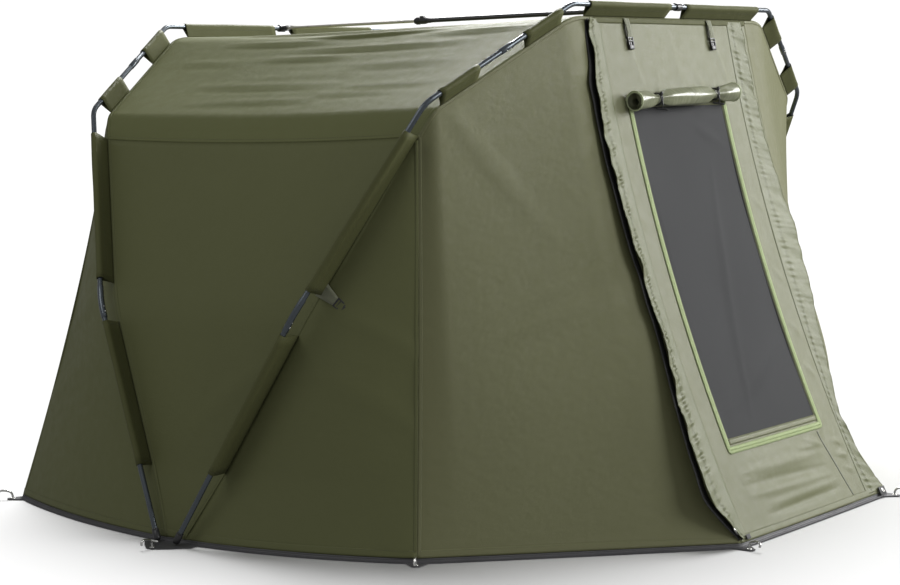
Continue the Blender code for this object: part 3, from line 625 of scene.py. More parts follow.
@dataclass(frozen=True)
class Station:
    """A place along a bow: the pole's axis, the seam below it, their direction and stretch."""

    pole: np.ndarray
    seam: np.ndarray
    way: np.ndarray
    stretch: Stretch

    def towards(self, other: Station, count: int) -> list[Station]:
        """Divides the way to another station.

        Args:
            other: The station at the far end, which isn't among those returned.
            count: How many stations are wanted.

        Returns:
            The stations, from this one on.
        """
        found = []
        span = float(np.linalg.norm(other.seam - self.seam))
        for i in range(count):
            t = i / count
            if self.stretch is other.stretch:
                seam = lerp(self.seam, other.seam, t)
            else:
                seam = self.seam * (2 * t**3 - 3 * t**2 + 1) + self.way * (span * (t**3 - 2 * t**2 + t))
                seam = seam + other.seam * (3 * t**2 - 2 * t**3) + other.way * (span * (t**3 - t**2))
            pole = lerp(self.pole, other.pole, t)
            found.append(Station(pole, seam, unit(lerp(self.way, other.way, t)), self.stretch))
        return found


@dataclass(frozen=True)
class Bow:
    """A U of pole in a leaning plane, with the seam line of the shell that hangs inside it."""

    name: str
    facing: int
    foot_y: float
    knee: tuple[float, float]
    shoulder: tuple[float, float]
    top: tuple[float, float]
    top_y: float
    leg_insets: tuple[float, float]
    foot_flare: float
    foot_x: float = 1.4205
    chamfer_inset: float = 0.048
    top_inset: float = 0.040

    @property
    def rise(self) -> np.ndarray:
        """The way up the bow's plane."""
        return unit(vec(0.0, self.top_y - self.foot_y, self.top[1]))

    @property
    def outward(self) -> np.ndarray:
        """The way square to the bow's plane, away from the shell."""
        return vec(0.0, self.facing * self.rise[2], -self.facing * self.rise[1])

    @property
    def corners(self) -> list[np.ndarray]:
        """The corners of the pole's axis.

        Returns:
            The points, from the left foot to the middle of the top.
        """
        marks = [(self.foot_x, 0.0), self.knee, self.shoulder, self.top, (0.0, self.top[1])]
        foot = vec(0.0, self.foot_y, 0.0)
        return [vec(-x, 0.0, 0.0) + foot + self.rise * (z / self.rise[2]) for x, z in marks]

    def at(self, stretch: Stretch, t: float) -> np.ndarray:
        """The pole's axis at a share of a stretch."""
        return lerp(self.corners[stretch.value], self.corners[stretch.value + 1], t)

    def way(self, stretch: Stretch) -> np.ndarray:
        """The direction of a stretch, upwards from the left foot."""
        return unit(self.corners[stretch.value + 1] - self.corners[stretch.value])

    def inward(self, stretch: Stretch) -> np.ndarray:
        """From the pole towards the shell, in the bow's plane."""
        across = unit(np.cross(self.outward, self.way(stretch)))
        return across if across @ vec(1.0, 0.0, -1.0) > 0 else -across

    def inset(self, stretch: Stretch, t: float) -> float:
        """How far the shell's seam lies from the pole's axis.

        Args:
            stretch: The stretch of the bow.
            t: The share of that stretch.

        Returns:
            The distance in metres.
        """
        low, high = self.leg_insets
        if stretch is Stretch.LEG_LOW:
            return low + (high - low) * t / 2 - self.foot_flare * (1 - t) ** 3
        if stretch is Stretch.LEG_HIGH:
            return low + (high - low) * (1 + t) / 2
        return self.chamfer_inset if stretch is Stretch.CHAMFER else self.top_inset

    def station(self, stretch: Stretch, t: float) -> Station:
        """The station at a place along the bow.

        Args:
            stretch: The stretch of the bow.
            t: The share of that stretch.

        Returns:
            The station.
        """
        pole = self.at(stretch, t)
        seam = pole + self.inward(stretch) * self.inset(stretch, t)
        return Station(pole, seam, self.way(stretch), stretch)


REAR = Bow("rear", 1, 0.028, (1.312, 0.671), (1.058, 1.2365), (0.586, 1.5023), 0.7602,
           (0.056, 0.054), 0.022)
FRONT = Bow("front", -1, -0.032, (1.308, 0.6805), (1.109, 1.274), (0.596, 1.5554), -0.8528,
            (0.088, 0.062), 0.052)


@dataclass(frozen=True)
class Span:
    """A run of stations that a pole sleeve covers."""

    label: str
    stations: list[Station]


@dataclass(frozen=True)
class ShellPlan:
    """The shell's driving lines: corners, hem, seams and where the sleeves are."""

    rear_corner: tuple[float, float] = (-1.197, 0.833)
    rear_middle: tuple[float, float] = (-0.466, 1.020)
    front_corner: tuple[float, float] = (-1.180, -0.728)
    door_corner: tuple[float, float] = (-0.474, -1.362)
    hem_z: float = 0.0135
    hem_bulge: float = 0.004
    leg_bulge: float = 0.038
    seam_dip: float = 0.014
    roof_sag: float = 0.016
    door_half: float = 0.46
    door_sag: float = 0.060
    door_draw: float = 0.052
    corner_sag: float = 0.040
    rear_sag: float = 0.018
    lower_sleeve: tuple[float, float] = (0.32, 0.92)
    upper_sleeve: tuple[float, float] = (0.12, 0.87)
    lower_tab: tuple[float, float] = (0.10, 0.35)
    upper_tab: tuple[float, float] = (0.67, 0.92)
    top_sleeve: tuple[float, float] = (0.145, 0.92)
    fine: int = 8

    def arch_marks(self, bow: Bow) -> list[tuple[Station, int, str]]:
        """The marked stations from the side seam to the middle of the top.

        Args:
            bow: The bow.

        Returns:
            Each station, the cells from it to the next, and the sleeve that starts there.
        """
        door_at = 1 - self.door_half / bow.top[0]
        return [
            (bow.station(Stretch.LEG_HIGH, self.upper_sleeve[1]), 3, ""),
            (bow.station(Stretch.CHAMFER, self.lower_tab[0]), 1, "lower_tab"),
            (bow.station(Stretch.CHAMFER, self.lower_tab[1]), 1, ""),
            (bow.station(Stretch.CHAMFER, self.upper_tab[0]), 1, "upper_tab"),
            (bow.station(Stretch.CHAMFER, self.upper_tab[1]), 3, ""),
            (bow.station(Stretch.TOP, self.top_sleeve[0]), 1, "top"),
            (bow.station(Stretch.TOP, door_at), 2, "top"),
            (bow.station(Stretch.TOP, self.top_sleeve[1]), 1, ""),
            (bow.station(Stretch.TOP, 1.0), 0, ""),
        ]

    def leg_marks(self, bow: Bow) -> list[tuple[Station, int, str]]:
        """The marked stations from the hem up to the side seam.

        Args:
            bow: The bow.

        Returns:
            Each station, the cells from it to the next, and the sleeve that starts there.
        """
        rise = bow.inward(Stretch.LEG_LOW)[2] * bow.inset(Stretch.LEG_LOW, 0.0)
        start = (self.hem_z - rise) / bow.corners[1][2]
        return [
            (bow.station(Stretch.LEG_LOW, start), 2, ""),
            (bow.station(Stretch.LEG_LOW, self.lower_sleeve[0]), 2, "lower_leg"),
            (bow.station(Stretch.LEG_LOW, self.lower_sleeve[1]), 1, ""),
            (bow.station(Stretch.LEG_HIGH, self.upper_sleeve[0]), 3, "upper_leg"),
            (bow.station(Stretch.LEG_HIGH, self.upper_sleeve[1]), 0, ""),
        ]

    def spread(self, marks: list[tuple[Station, int, str]]) -> list[Station]:
        """All the stations between the marks, finely divided.

        Args:
            marks: The marked stations.

        Returns:
            The stations in order.
        """
        found = []
        for (first, count, _), (second, _, _) in zip(marks, marks[1:]):
            found += first.towards(second, count * self.fine)
        return found + [marks[-1][0]]

    def spans(self, marks: list[tuple[Station, int, str]]) -> list[Span]:
        """The runs of stations that lie in sleeves.

        Args:
            marks: The marked stations.

        Returns:
            The runs, with neighbouring runs of one sleeve joined.
        """
        found: list[Span] = []
        for (first, count, label), (second, _, _) in zip(marks, marks[1:]):
            if not label:
                continue
            run = first.towards(second, count * self.fine)
            if found and found[-1].label == label:
                found[-1].stations.pop()
                found[-1].stations.extend(run + [second])
            else:
                found.append(Span(label, run + [second]))
        return found

    def hem_point(self, corner: tuple[float, float]) -> np.ndarray:
        """A ground corner of the shell, at the hem's height."""
        return vec(*corner, self.hem_z)

    def inward_at(self, point: Sequence[float]) -> np.ndarray:
        """The level way from a place towards the middle of the tent."""
        return unit(vec(-point[0], -point[1], 0.0))

    def hem_row(self, start: np.ndarray, end: np.ndarray, count: int) -> np.ndarray:
        """A stretch of hem, which bellies out between the pegs at its ends.

        Args:
            start: Its first end.
            end: Its other end.
            count: How many steps it has.

        Returns:
            Its points.
        """
        way = unit(end - start)
        across = vec(-way[1], way[0], 0.0)
        if across @ self.inward_at(lerp(start, end, 0.5)) > 0:
            across = -across
        beside_leg = min(abs(start[0]), abs(end[0])) > 1.1
        bulge = across * (self.leg_bulge if beside_leg else self.hem_bulge)
        return sagging(start, end, bulge, np.linspace(0.0, 1.0, count + 1))

    def corner_dip(self, bow: Bow) -> np.ndarray:
        """How far a corner seam curves inwards at its middle.

        Args:
            bow: The bow that the seam belongs to.

        Returns:
            The way inwards, in metres.
        """
        if bow is REAR:
            return self.inward_at(self.rear_corner) * self.rear_sag
        return self.inward_at(self.front_corner) * self.corner_sag

    def drawn_in(self, height: object) -> np.ndarray:
        """How far the door's right seam is drawn in near the ground, in metres.

        Args:
            height: From 0 at the hem to 1 at the bow.

        Returns:
            The inward way at each height.
        """
        low = 1.0 - np.exp(-np.maximum(height, 0.0) / 0.03)
        return self.door_draw * low * np.exp(-(((height - 0.15) / 0.11) ** 2))

    def seams(self, stations: list[Station]) -> np.ndarray:
        """The seam points of a row of stations."""
        return np.array([one.seam for one in stations])

    def side_seam(self, count: int) -> np.ndarray:
        """The seam between roof and side wall on the left.

        Args:
            count: How many steps it has.

        Returns:
            Its points, from the rear to the front.
        """
        back = self.arch_marks(REAR)[0][0].seam
        fore = self.arch_marks(FRONT)[0][0].seam
        return sagging(back, fore, vec(0.0, 0.0, -self.seam_dip), np.linspace(0.0, 1.0, count + 1))

    def roof(self, rows: int) -> np.ndarray:
        """The roof, from the left side seam to the right.

        Args:
            rows: How many rows of cells it has.

        Returns:
            The roof's grid, rear row first.
        """
        places = np.linspace(0.0, 1.0, rows + 1)
        backs = self.spread(self.arch_marks(REAR))
        fores = self.spread(self.arch_marks(FRONT))
        edge_dip = vec(0.0, 0.0, -self.seam_dip)
        columns = []
        for k, (back, fore) in enumerate(zip(backs, fores)):
            inward = unit(vec(0.0, 0.0, 0.9) - lerp(back.seam, fore.seam, 0.5))
            share = abs(inward[2])
            dip = inward * (self.roof_sag * share) + edge_dip * (1 - share)
            dip = lerp(edge_dip, dip, min(1.0, k / self.fine))
            columns.append(sagging(back.seam, fore.seam, dip, places))
        left = np.array(columns)
        return np.concatenate([left, (left * MIRROR)[-2::-1]])

    def side_wall(self, columns: int) -> np.ndarray:
        """The side wall, from the rear leg to the front leg.

        Args:
            columns: How many columns of cells it has.

        Returns:
            The wall's grid, hem first.
        """
        rear = self.seams(self.spread(self.leg_marks(REAR)))
        front = self.seams(self.spread(self.leg_marks(FRONT)))
        bottom = lerp(rear[0], front[0], np.linspace(0.0, 1.0, columns + 1))
        return coons(bottom, self.side_seam(columns), rear, front)

    def leg_wall(self, bow: Bow, columns: int, apex: float = 0.011) -> np.ndarray:
        """The three-cornered panel between a leg, a corner seam and the ground.

        Args:
            bow: The bow that the leg belongs to.
            columns: How many columns of cells it has.
            apex: How far below its top corner it ends, in metres.

        Returns:
            The panel's grid, hem first.
        """
        corner = self.rear_corner if bow is REAR else self.front_corner
        leg = self.seams(self.spread(self.leg_marks(bow)))
        seam = sagging(self.hem_point(corner), leg[-1], self.corner_dip(bow), shares_of(leg))
        hem = self.hem_row(leg[0], self.hem_point(corner), columns)
        share = apex / float(np.linalg.norm(leg[-1] - leg[-2]))
        share = min(share, 0.5)
        leg[-1] = lerp(leg[-1], leg[-2], share)
        seam[-1] = lerp(seam[-1], seam[-2], share)
        top = lerp(leg[-1], seam[-1], np.linspace(0.0, 1.0, columns + 1))
        return coons(hem, top, leg, seam)

    @property
    def door_top(self) -> np.ndarray:
        """The middle of the seam under the front bow."""
        return FRONT.station(Stretch.TOP, 1.0).seam

    @property
    def door_drop(self) -> float:
        """The straight distance down the middle of the door."""
        foot = self.hem_point((0.0, self.door_corner[1]))
        return float(np.linalg.norm(self.door_top - foot))

    def height_at(self, down: float) -> float:
        """How high on the door a place is, from 0 to 1, for a distance down from the bow."""
        return 1.0 - down / self.door_drop

    def corner_panel(self, bow: Bow, rows: int, drawn: bool = False) -> np.ndarray:
        """The panel between a corner seam and the seam that falls from the top of the bow.

        Args:
            bow: The bow it hangs from.
            rows: How many rows of cells it has.
            drawn: Whether its inner seam is drawn in near the ground.

        Returns:
            The panel's grid, hem first.
        """
        corner = self.rear_corner if bow is REAR else self.front_corner
        middle = self.rear_middle if bow is REAR else self.door_corner
        stations = self.spread(self.arch_marks(bow))
        top = self.seams(stations)[: 10 * self.fine + 1]
        places = np.linspace(0.0, 1.0, rows + 1)
        outer = sagging(self.hem_point(corner), top[0], self.corner_dip(bow), places)
        hollow = vec(0.0, -bow.facing * self.door_sag, 0.0)
        inner = sagging(self.hem_point(middle), top[-1], hollow, places)
        if drawn:
            inner[:, 1] += self.drawn_in(places)
        hem = self.hem_row(self.hem_point(corner), self.hem_point(middle), len(top) - 1)
        return coons(hem, top, outer, inner)

    def rear_middle_panel(self, rows: int) -> np.ndarray:
        """The middle of the back, from left to right.

        Args:
            rows: How many rows of cells it has.

        Returns:
            The panel's grid, hem first.
        """
        left = self.corner_panel(REAR, rows)[-1]
        half = self.seams(self.spread(self.arch_marks(REAR)))[10 * self.fine :]
        top = np.concatenate([half, (half * MIRROR)[-2::-1]])
        start = self.hem_point(self.rear_middle)
        hem = self.hem_row(start, start * MIRROR, len(top) - 1)
        return coons(hem, top, left, left * MIRROR)

    def door(self, x: np.ndarray, height: np.ndarray) -> np.ndarray:
        """Points of the door's cloth.

        Args:
            x: Across from the door's middle.
            height: From 0 at the hem to 1 at the bow.

        Returns:
            A point for each place.
        """
        share = x / self.door_half
        foot_y = self.door_corner[1] - self.hem_bulge * (1 - share * share)
        foot = np.stack([-self.door_corner[0] * share, foot_y, self.hem_z + 0 * x], axis=-1)
        top = np.stack([x, self.door_top[1] + 0 * x, self.door_top[2] + 0 * x], axis=-1)
        points = lerp(foot, top, height)
        points[..., 1] += self.door_sag * 4 * height * (1 - height)
        return points

    def over_door(self, x: object, height: object, lift: object = 0.0) -> np.ndarray:
        """Points over the door's cloth.

        Args:
            x: Across from the door's middle.
            height: From 0 at the hem to 1 at the bow.
            lift: How far outwards they are raised.

        Returns:
            A point for each place.
        """
        x, height, lift = np.broadcast_arrays(*(np.asarray(one, float) for one in (x, height, lift)))
        rise = self.door(x, height + 0.01) - self.door(x, height - 0.01)
        normal = unit(np.cross(vec(1.0, 0.0, 0.0), rise))
        return self.door(x, height) + normal * lift[..., None]


PLAN = ShellPlan()
DOOR_OUT = vec(0.0, -1.0, 0.3)


# Making and handing over pieces


def shown(name: str, mesh: bpy.types.Mesh, material: Material) -> Piece:
    """Puts a mesh in the scene.

    Args:
        name: The object's name.
        mesh: Its mesh.
        material: The one material that it gets.

    Returns:
        The object.
    """
    mesh.materials.clear()
    mesh.materials.append(material)
    obj = bpy.data.objects.new(name, mesh)
    bpy.context.scene.collection.objects.link(obj)
    return obj


def hand_over(obj: Piece, slot: str, *nodes: str) -> Piece:
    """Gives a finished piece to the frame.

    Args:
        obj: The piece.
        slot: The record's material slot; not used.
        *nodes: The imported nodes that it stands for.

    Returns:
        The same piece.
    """
    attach(obj, BODY)
    if nodes:
        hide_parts(*nodes)
    LOG.info("%s: %d faces", obj.name, len(obj.data.polygons))
    return obj


def mesh_of(bm: bmesh.types.BMesh, name: str, sharp: float = 180.0) -> bpy.types.Mesh:
    """Turns a bmesh into a smooth-shaded mesh.

    Args:
        bm: The bmesh, which is freed.
        name: The mesh's name.
        sharp: Edges that bend by more than this many degrees stay sharp.

    Returns:
        The mesh.
    """
    mesh = bpy.data.meshes.new(name)
    bm.to_mesh(mesh)
    bm.free()
    mesh.shade_smooth()
    if sharp < 180.0:
        mesh.set_sharp_from_angle(angle=math.radians(sharp))
    return mesh


def ripple(seed: int, count: int, low: float, high: float, slant: float = math.pi) -> Relief:
    """A smooth irregular wave between about -1 and 1.

    Args:
        seed: Starts its random numbers.
        count: How many sine waves it sums.
        low: The longest wave's repeats in a metre.
        high: The shortest wave's repeats in a metre.
        slant: The most that a wave's direction may turn from the first axis.

    Returns:
        A function of two arrays of coordinates in metres.
    """
    draw = np.random.default_rng(seed)
    turns = draw.uniform(-slant, slant, count)
    repeats = np.exp(draw.uniform(math.log(low), math.log(high), count))
    phases = draw.uniform(0.0, math.tau, count)

    def wave(s: np.ndarray, t: np.ndarray) -> np.ndarray:
        """The sum of the sine waves at each place.

        Args:
            s: Metres along the first axis.
            t: Metres along the second axis.

        Returns:
            The wave's height there.
        """
        total = np.zeros(np.broadcast(s, t).shape)
        for turn, rate, phase in zip(turns, repeats, phases):
            total = total + np.sin(math.tau * rate * (s * math.cos(turn) + t * math.sin(turn)) + phase)
        return total / math.sqrt(count * 1.6)

    return wave


@dataclass(frozen=True)
class Fold:
    """One soft crease that runs between two places of a panel, in metres across and up."""

    start: tuple[float, float]
    end: tuple[float, float]
    width: float
    height: float

    def relief(self, s: np.ndarray, t: np.ndarray) -> np.ndarray:
        """The crease's height.

        Args:
            s: Metres across the panel.
            t: Metres up the panel.

        Returns:
            The height at each place.
        """
        run = vec(self.end[0] - self.start[0], self.end[1] - self.start[1])
        length = float(np.linalg.norm(run))
        run = run / length
        on = (s - self.start[0]) * run[0] + (t - self.start[1]) * run[1]
        off = (s - self.start[0]) * -run[1] + (t - self.start[1]) * run[0]
        share = np.clip(on / length, 0.0, 1.0)
        past = np.maximum(0.0, np.maximum(-on, on - length))
        narrow = self.width * (0.55 + 0.9 * share * (1 - share) * 2)
        body = np.exp(-((off / narrow) ** 2)) * np.exp(-((past / (2 * self.width)) ** 2))
        return self.height * body * np.sin(math.pi * (0.12 + 0.76 * share))


@dataclass(frozen=True)
class Puckers:
    """Short irregular wrinkles that a sewn edge draws into the cloth beside it."""

    seed: int
    across: bool
    at: float
    reach: float
    height: float
    rate: float = 26.0

    def relief(self, s: np.ndarray, t: np.ndarray) -> np.ndarray:
        """The wrinkles' height.

        Args:
            s: Metres across the panel.
            t: Metres up the panel.

        Returns:
            The height at each place.
        """
        run, off = (t, s) if self.across else (s, t)
        away = np.abs(off - self.at)
        wave = ripple(self.seed, 9, self.rate * 0.4, self.rate * 1.5, 0.5)
        return self.height * wave(run, off) * np.exp(-away / self.reach)


@dataclass(frozen=True)
class Swell:
    """Broad, shallow unevenness of a whole panel."""

    seed: int
    height: float
    low: float = 0.7
    high: float = 3.0
    slant: float = math.pi

    def relief(self, s: np.ndarray, t: np.ndarray) -> np.ndarray:
        """The unevenness at each place."""
        return self.height * ripple(self.seed, 10, self.low, self.high, self.slant)(s, t)


@dataclass
class Cloth:
    """A sheet of cloth over a grid of points, grid[column, row].

    The relief is laid on along the normals and fades out towards the sewn edges.
    """

    name: str
    grid: np.ndarray
    outward: np.ndarray
    relief: Sequence[Fold | Puckers | Swell] = ()
    thickness: float = 0.0010
    pin: float = 0.018
    free: str = ""
    lift: float = 0.0
    hole: tuple[int, int, int, int] | None = None
    calm: Relief | None = None

    def __post_init__(self) -> None:
        """Works out lengths across and up, normals and the laid points."""
        steps = np.linalg.norm(np.diff(self.grid, axis=0), axis=2).mean(axis=1)
        across = np.concatenate(([0.0], np.cumsum(steps)))
        rises = np.linalg.norm(np.diff(self.grid, axis=1), axis=2)
        self.s = np.repeat(across[:, None], self.grid.shape[1], axis=1)
        self.t = np.concatenate([np.zeros((len(across), 1)), np.cumsum(rises, axis=1)], axis=1)
        normal = unit(np.cross(np.gradient(self.grid, axis=0), np.gradient(self.grid, axis=1)))
        self.turned = float((normal * self.outward).sum(axis=2).mean()) < 0
        self.normal = -normal if self.turned else normal
        height = np.full(self.s.shape, self.lift)
        if self.relief:
            height = height + sum(one.relief(self.s, self.t) for one in self.relief) * self.held()
        self.points = self.grid + self.normal * height[..., None]

    def held(self) -> np.ndarray:
        """How far each place is free to leave the panel's plain shape.

        Returns:
            A share from 0 to 1 for each place.
        """
        share = self.calm(self.s, self.t) if self.calm else np.ones(self.s.shape)
        edges = {
            "left": self.s,
            "right": self.s[-1:] - self.s,
            "low": self.t,
            "high": self.t[:, -1:] - self.t,
        }
        for edge, away in edges.items():
            if edge not in self.free:
                share = share * smooth(away, 0.0, self.pin)
        return share

    @property
    def size(self) -> tuple[float, float]:
        """The cut's greatest width and length."""
        widths = np.linalg.norm(np.diff(self.grid, axis=0), axis=2).sum(axis=0)
        return float(widths.max()), float(self.t[:, -1].max())

    @property
    def area(self) -> float:
        """The cloth's area as laid.

        Returns:
            Square metres, without the relief and the hole.
        """
        p = self.grid
        a = np.linalg.norm(np.cross(p[1:, :-1] - p[:-1, :-1], p[:-1, 1:] - p[:-1, :-1]), axis=2)
        b = np.linalg.norm(np.cross(p[1:, :-1] - p[1:, 1:], p[:-1, 1:] - p[1:, 1:]), axis=2)
        total = (a + b) / 2
        if self.hole:
            i0, i1, j0, j1 = self.hole
            total[i0:i1, j0:j1] = 0.0
        return float(total.sum())

    def build(self, material: Material) -> Piece:
        """Makes the sheet as a mesh with its own UV map in metres, and gives it thickness.

        Args:
            material: Its finish.

        Returns:
            The sheet.
        """
        columns, rows = self.grid.shape[:2]
        bm = bmesh.new()
        seat = bm.verts.layers.int.new("seat")
        bmesh.ops.create_grid(bm, x_segments=columns - 1, y_segments=rows - 1, size=1.0)
        half = vec(columns - 1, rows - 1) / 2
        cut = []
        for vert in bm.verts:
            vert[seat] = round((vert.co.x + 1) * half[0]) * rows + round((vert.co.y + 1) * half[1])
        if self.hole:
            i0, i1, j0, j1 = self.hole
            for face in bm.faces:
                middle = face.calc_center_median()
                i, j = (middle.x + 1) * half[0], (middle.y + 1) * half[1]
                if i0 < i < i1 and j0 < j < j1:
                    cut.append(face)
            bmesh.ops.delete(bm, geom=cut, context="FACES")
        mesh = mesh_of(bm, self.name)
        seats = np.zeros(len(mesh.vertices), np.int32)
        mesh.attributes["seat"].data.foreach_get("value", seats)
        mesh.attributes.remove(mesh.attributes["seat"])
        mesh.vertices.foreach_set("co", self.points.reshape(-1, 3)[seats].astype(np.float32).ravel())
        corners = np.zeros(len(mesh.loops), np.int32)
        mesh.loops.foreach_get("vertex_index", corners)
        flat = np.stack([self.s.ravel(), self.t.ravel()], axis=1)[seats][corners]
        mesh.uv_layers.new(name="cloth").data.foreach_set("uv", flat.astype(np.float32).ravel())
        if self.turned:
            mesh.flip_normals()
        mesh.update()
        obj = shown(self.name, mesh, material)
        wall = obj.modifiers.new("Cloth thickness", "SOLIDIFY")
        wall.thickness = self.thickness
        wall.offset = 0.0
        return obj

    def line(self, s: int | None = None, t: int | None = None, inset: float = 0.0) -> np.ndarray:
        """Points and normals beside an edge or along a column or row.

        Args:
            s: The column, or None for a row.
            t: The row, or None for a column.
            inset: How far in from it the line runs, in metres.

        Returns:
            The points and the normals, stacked.
        """
        if s is not None:
            here, normal = self.points[s], self.normal[s]
            inner = self.points[min(max(s, 4), len(self.points) - 5)]
        else:
            here, normal = self.points[:, t], self.normal[:, t]
            inner = self.points[:, min(max(t, 4), self.points.shape[1] - 5)]
        return np.stack([here + unit(inner - here) * inset, normal])

    def trace(self, s: np.ndarray, t: np.ndarray) -> np.ndarray:
        """Points and normals on the laid cloth.

        Args:
            s: Metres across from its first column.
            t: Metres up from its first row.

        Returns:
            The points and the normals, stacked.
        """
        middle = self.t[len(self.t) // 2]
        i = np.interp(s, self.s[:, 0], np.arange(len(self.s)))
        j = np.interp(t, middle, np.arange(len(middle)))
        i0 = np.minimum(i.astype(int), len(self.s) - 2)
        j0 = np.minimum(j.astype(int), len(middle) - 2)
        found = []
        for grid in (self.points, self.normal):
            low = lerp(grid[i0, j0], grid[i0 + 1, j0], i - i0)
            high = lerp(grid[i0, j0 + 1], grid[i0 + 1, j0 + 1], i - i0)
            found.append(lerp(low, high, j - j0))
        return np.stack(found)


def ribbon(name: str, line: np.ndarray, width: object, lift: float, crown: float = 0.0004,
           thickness: float = 0.0008) -> Cloth:
    """A narrow strip along a line of points and normals.

    Args:
        name: The piece's name.
        line: The points and the normals, stacked.
        width: How wide it is, all along or at each point.
        lift: How far its middle plane stands over the line.
        crown: How much higher its middle is than its edges.
        thickness: The strip's own thickness.

    Returns:
        The strip, not yet built.
    """
    points, normals = line
    side = unit(np.cross(normals, np.gradient(points, axis=0))) * (np.asarray(width)[..., None] / 2)
    places = np.linspace(-1.0, 1.0, 5)
    rows = [points + side * p + normals * (lift + crown * (1 - p * p)) for p in places]
    return Cloth(name, np.stack(rows, axis=1), normals[:, None], (), thickness,
                 free=ALL_EDGES)


def raised(points: np.ndarray, normals: np.ndarray, lift: float) -> np.ndarray:
    """A line of points and normals that stands over the given one by lift."""
    return np.stack([points + normals * lift, normals])


def resample(line: np.ndarray, step: float) -> np.ndarray:
    """Spreads the places of a line evenly.

    Args:
        line: The points and the normals, stacked.
        step: About how far apart the new places are.

    Returns:
        The new points and normals, stacked.
    """
    points = line[0]
    run = np.concatenate(([0.0], np.cumsum(np.linalg.norm(np.diff(points, axis=0), axis=1))))
    wanted = np.linspace(0.0, run[-1], max(2, int(run[-1] / step) + 1))
    even = [np.stack([np.interp(wanted, run, row[:, k]) for k in range(3)], axis=1) for row in line]
    return np.stack([even[0], unit(even[1])])


@dataclass(frozen=True)
class Stitching:
    """Rows of sewn stitches: small rounded grains of thread that lie on the cloth."""

    pitch: float = 0.0055
    length: float = 0.0042
    width: float = 0.0011
    height: float = 0.0009
    lift: float = 0.0006
    batch: int = 60

    def build(self, name: str, lines: Sequence[np.ndarray], material: Material) -> Piece:
        """Makes all the rows as one piece, batch by batch.

        Args:
            name: The piece's name.
            lines: The rows, each as points and normals, stacked.
            material: The thread's finish.

        Returns:
            The stitches.
        """
        whole = bmesh.new()
        size = Matrix.Diagonal((self.length / 2, self.width / 2, self.height / 2, 1.0))
        for line in lines:
            points, normals = resample(line, self.pitch)
            ways = unit(np.gradient(points, axis=0))
            sides = unit(np.cross(normals, ways))
            ups = np.cross(ways, sides)
            seats = points + normals * self.lift
            for start in range(0, len(points), self.batch):
                row = bmesh.new()
                for k in range(start, min(start + self.batch, len(points))):
                    turn = Matrix((ways[k], sides[k], ups[k])).transposed().to_4x4()
                    turn.translation = Vector(seats[k])
                    bmesh.ops.create_uvsphere(row, u_segments=4, v_segments=2, radius=1.0,
                                              matrix=turn @ size)
                part = mesh_of(row, "row")
                whole.from_mesh(part)
                bpy.data.meshes.remove(part)
        return shown(name, mesh_of(whole, name), material)


def tube(name: str, points: Sequence[np.ndarray], radii: object, material: Material,
         sides: int = 24, closed: bool = False, smooth_way: bool = False) -> Piece:
    """A round bar along points.

    Args:
        name: The piece's name.
        points: Its centreline.
        radii: One radius, or one for each point.
        material: Its finish.
        sides: How many sides it has round.
        closed: Whether it is a ring.
        smooth_way: Whether a smooth curve runs through the points.

    Returns:
        The bar, as a mesh.
    """
    sizes = [float(radii)] * len(points) if np.isscalar(radii) else [float(r) for r in radii]
    curve = bpy.data.curves.new(name + "_way", "CURVE")
    curve.dimensions = "3D"
    curve.bevel_depth = 1.0
    curve.bevel_resolution = sides // 2 - 2
    curve.use_fill_caps = True
    if smooth_way:
        run = np.arange(len(points))
        fine = np.linspace(0, len(points) - 1, 6 * len(points))
        points = catmull(np.array(points), fine)
        sizes = list(np.interp(fine, run, sizes))
    spline = curve.splines.new("POLY")
    spline.points.add(len(points) - 1)
    for knot, point, size in zip(spline.points, points, sizes):
        knot.co = (*point, 1.0)
        knot.radius = size
    spline.use_cyclic_u = closed
    guide = bpy.data.objects.new(name + "_guide", curve)
    bpy.context.scene.collection.objects.link(guide)
    mesh = bpy.data.meshes.new_from_object(guide.evaluated_get(bpy.context.evaluated_depsgraph_get()))
    mesh.name = name
    bpy.data.objects.remove(guide)
    bpy.data.curves.remove(curve)
    bm = bmesh.new()
    bm.from_mesh(mesh)
    bmesh.ops.remove_doubles(bm, verts=bm.verts, dist=1e-6)
    bmesh.ops.recalc_face_normals(bm, faces=bm.faces)
    bpy.data.meshes.remove(mesh)
    return shown(name, mesh_of(bm, name, 40.0), material)


def catmull(points: np.ndarray, wanted: np.ndarray) -> np.ndarray:
    """Places on a smooth curve through a row of points.

    Args:
        points: The row of points.
        wanted: The wanted places, counted in points from the first.

    Returns:
        A point for each place.
    """
    padded = np.concatenate([[2 * points[0] - points[1]], points, [2 * points[-1] - points[-2]]])
    i = np.minimum(wanted.astype(int), len(points) - 2)
    t = (wanted - i)[:, None]
    a, b, c, d = (padded[i + k] for k in range(4))
    curve = 2 * b + (c - a) * t + (2 * a - 5 * b + 4 * c - d) * t**2 + (3 * b - a - 3 * c + d) * t**3
    return curve / 2


def merged(name: str, parts: Sequence[Piece], material: Material) -> Piece:
    """Joins finished parts into one piece.

    Args:
        name: The piece's name.
        parts: What is joined, and then deleted.
        material: The piece's finish.

    Returns:
        The piece.
    """
    whole = bmesh.new()
    for part in parts:
        whole.from_mesh(part.data)
        bpy.data.objects.remove(part)
    return shown(name, mesh_of(whole, name, 40.0), material)


